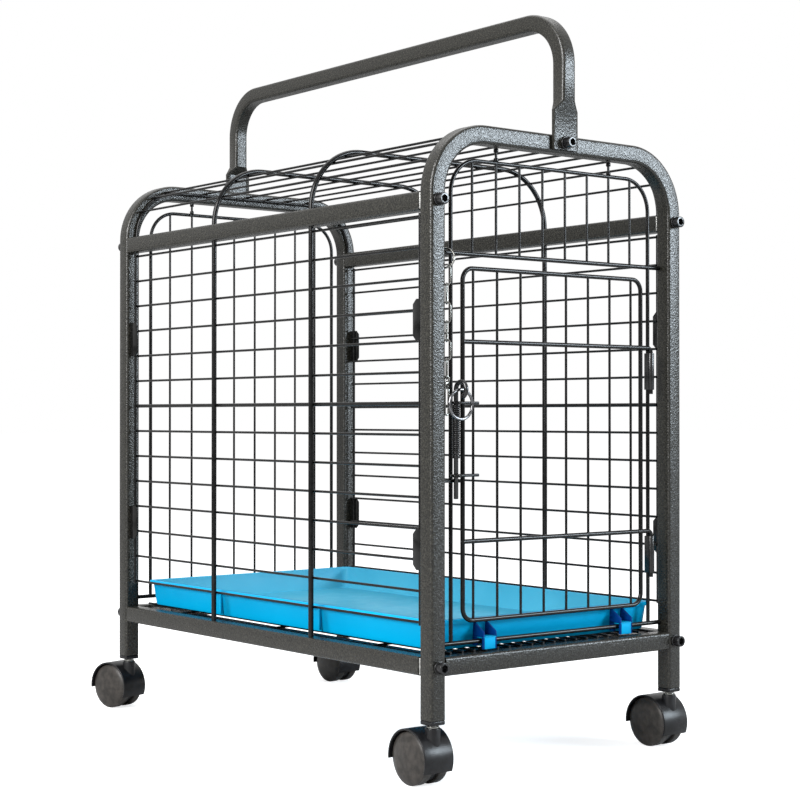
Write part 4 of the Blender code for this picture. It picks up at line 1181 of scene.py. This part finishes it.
def hood():
    """The hood over both wheels, the web between them and the boss round the stem."""
    middle = HOOD - HOOD_WALL / 2
    start = math.radians(HOOD_START)
    at = (0, TRAIL + middle * math.cos(start), WHEEL + middle * math.sin(start))
    unselect()
    bpy.ops.mesh.primitive_plane_add(size=1, location=at, rotation=(start, 0, 0))
    band = bpy.context.object
    band.dimensions = (HOOD_WIDTH, HOOD_WALL, 0)
    bpy.ops.object.transform_apply(location=False, rotation=False, scale=True)
    edit()
    bpy.ops.mesh.bevel(offset=EASED_EDGE, segments=3, affect="VERTICES")
    bpy.ops.mesh.select_all(action="SELECT")
    swing((0, TRAIL, WHEEL), (1, 0, 0), HOOD_TURN, 44)
    band = done()
    web_z = WHEEL + WEB_RISE
    web = rod((-WEB_HALF, TRAIL, web_z), (WEB_HALF, TRAIL, web_z), WEB, 64)
    boss = soften(upright(0, 0, BOSS_Z, BOSS, 32), ROUND_EDGE)
    return welded([band, web, boss])


def wheel(side):
    """A wheel with a rounded tread and a domed outer disc."""
    inner = side * (WHEEL_X - WHEEL_WIDTH / 2)
    outer = side * (WHEEL_X + WHEEL_WIDTH / 2)
    made = rod((inner, TRAIL, WHEEL), (outer, TRAIL, WHEEL), WHEEL, 64)
    bpy.ops.object.transform_apply(location=True, rotation=True, scale=True)
    choose(made, "FACE", lambda face: face.normal.x * side > 0.9)
    for inset, rise in DOME_STEPS:
        bpy.ops.mesh.inset(thickness=inset, depth=0)
        bpy.ops.transform.translate(value=(side * rise, 0, 0))
    bpy.ops.object.mode_set(mode="OBJECT")
    return soften(made, ROUND_EDGE, 3, 50)


def make_castors():
    shape = hood()
    wheels = {"left": wheel(-1), "right": wheel(1)}
    axle = rod((-AXLE_END, TRAIL, WHEEL), (AXLE_END, TRAIL, WHEEL), AXLE, 20)
    for corner in CORNER_TURNS:
        place = castor_place(corner)
        body = f"castor_{corner}"
        piece([copy(shape, place)], f"castor_hood_{corner}", NYLON, body, [f"castor_{corner}_housing"])
        for hand, made in wheels.items():
            piece([copy(made, place)], f"castor_disc_{corner}_{hand}", TREAD, f"wheel_{corner}_{hand}",
                  [f"castor_{corner}_wheel_{hand}"])
        x, y, _ = place.translation
        stem = soften(upright(x, y, STEM_Z, STEM, 28), PIN_EDGE)
        collar = soften(upright(x, y, STEM_COLLAR_Z, STEM_COLLAR, 28), PIN_EDGE)
        piece([stem, collar], f"castor_pin_{corner}", CHAIN, "root", [f"castor_stem_{corner}"])
        low, high = PLUG_Z
        corners = (x - PLUG_HALF, y - PLUG_HALF, low), (x + PLUG_HALF, y + PLUG_HALF, high)
        plug = block(*corners, PLUG_EDGE)
        piece([plug], f"leg_plug_{corner}", NYLON, "root")
        piece([copy(axle, place)], f"castor_axle_{corner}", ZINC, body, [f"castor_{corner}_axle"])
    discard(shape, axle, *wheels.values())


# Stage


def make_studio_floor():
    """Pale paper that keeps the shadow, and glows to white for the camera only."""
    unselect()
    bpy.ops.mesh.primitive_plane_add(size=60, location=(0, 0, -0.0005))
    floor = bpy.context.object
    floor.name = "studio_floor"
    material = bpy.data.materials.new("studio_floor_paper")
    material.use_nodes = True
    nodes, links = material.node_tree.nodes, material.node_tree.links
    nodes.clear()
    paper = nodes.new("ShaderNodeBsdfDiffuse")
    paper.inputs["Color"].default_value = (0.62, 0.62, 0.62, 1)
    glow = nodes.new("ShaderNodeEmission")
    glow.inputs["Color"].default_value = (1, 1, 1, 1)
    glow.inputs["Strength"].default_value = 0.75
    off = nodes.new("ShaderNodeEmission")
    off.inputs["Strength"].default_value = 0.0
    ray = nodes.new("ShaderNodeLightPath")
    pick = nodes.new("ShaderNodeMixShader")
    links.new(ray.outputs["Is Camera Ray"], pick.inputs[0])
    links.new(off.outputs[0], pick.inputs[1])
    links.new(glow.outputs[0], pick.inputs[2])
    total = nodes.new("ShaderNodeAddShader")
    links.new(paper.outputs[0], total.inputs[0])
    links.new(pick.outputs[0], total.inputs[1])
    out = nodes.new("ShaderNodeOutputMaterial")
    links.new(total.outputs[0], out.inputs["Surface"])
    floor.data.materials.append(material)


def make_world():
    """Soft white light, and plain white for the camera, for gloss and through glass."""
    world = bpy.data.worlds.new("studio")
    bpy.context.scene.world = world
    world.use_nodes = True
    nodes, links = world.node_tree.nodes, world.node_tree.links
    nodes.clear()
    ray = nodes.new("ShaderNodeLightPath")
    soft = nodes.new("ShaderNodeBackground")
    soft.inputs["Color"].default_value = (1, 1, 1, 1)
    soft.inputs["Strength"].default_value = 0.42
    white = nodes.new("ShaderNodeBackground")
    white.inputs["Color"].default_value = (1, 1, 1, 1)
    white.inputs["Strength"].default_value = 1.0
    either = nodes.new("ShaderNodeMath")
    either.operation = "MAXIMUM"
    links.new(ray.outputs["Is Camera Ray"], either.inputs[0])
    links.new(ray.outputs["Is Glossy Ray"], either.inputs[1])
    any_ray = nodes.new("ShaderNodeMath")
    any_ray.operation = "MAXIMUM"
    links.new(either.outputs[0], any_ray.inputs[0])
    links.new(ray.outputs["Is Transmission Ray"], any_ray.inputs[1])
    pick = nodes.new("ShaderNodeMixShader")
    links.new(any_ray.outputs[0], pick.inputs[0])
    links.new(soft.outputs[0], pick.inputs[1])
    links.new(white.outputs[0], pick.inputs[2])
    out = nodes.new("ShaderNodeOutputWorld")
    links.new(pick.outputs[0], out.inputs["Surface"])


def softbox(name, at, aim, width, height, power, colour=(1.0, 1.0, 1.0)):
    """A rectangular lamp aimed at a point."""
    light = bpy.data.lights.new(name, "AREA")
    light.shape = "RECTANGLE"
    light.size = width
    light.size_y = height
    light.energy = power
    light.color = colour
    lamp = bpy.data.objects.new(name, light)
    bpy.context.scene.collection.objects.link(lamp)
    lamp.location = at
    lamp.rotation_euler = (Vector(aim) - Vector(at)).to_track_quat("-Z", "Y").to_euler()


def make_lights():
    softbox("left_softbox", (-2.4, -0.6, 1.6), (0, 0, 0.35), 1.6, 1.6, 160.0)
    softbox("right_softbox", (1.95, -2.55, 1.15), (0, -0.3, 0.5), 1.1, 0.8, 105.0, (0.80, 0.91, 1.0))
    softbox("top_softbox", (0.2, 0.3, 2.6), (0, 0, 0.4), 2.0, 2.0, 34.0)


def make_camera():
    data = bpy.data.cameras.new("studio_camera")
    camera = bpy.data.objects.new("studio_camera", data)
    bpy.context.scene.collection.objects.link(camera)
    data.sensor_width = 36.0
    data.lens = LENS
    data.clip_start = 0.05
    data.clip_end = 200.0
    camera.location = Vector(CAMERA_AT) + Vector(DRAWN_AT)
    camera.rotation_euler = (math.radians(CAMERA_TILT), 0.0, math.radians(CAMERA_HEADING))
    bpy.context.scene.camera = camera


make_frame()
make_side_grilles()
make_roof()
make_panels()
make_door()
make_hinge_sleeves()
make_latch()
make_chain()
make_floor()
make_painted_shade_strips()
make_tray()
make_tray_sheen_skin()
make_castors()
make_studio_floor()
make_world()
make_lights()
make_camera()
bpy.context.scene.view_settings.view_transform = "Standard"
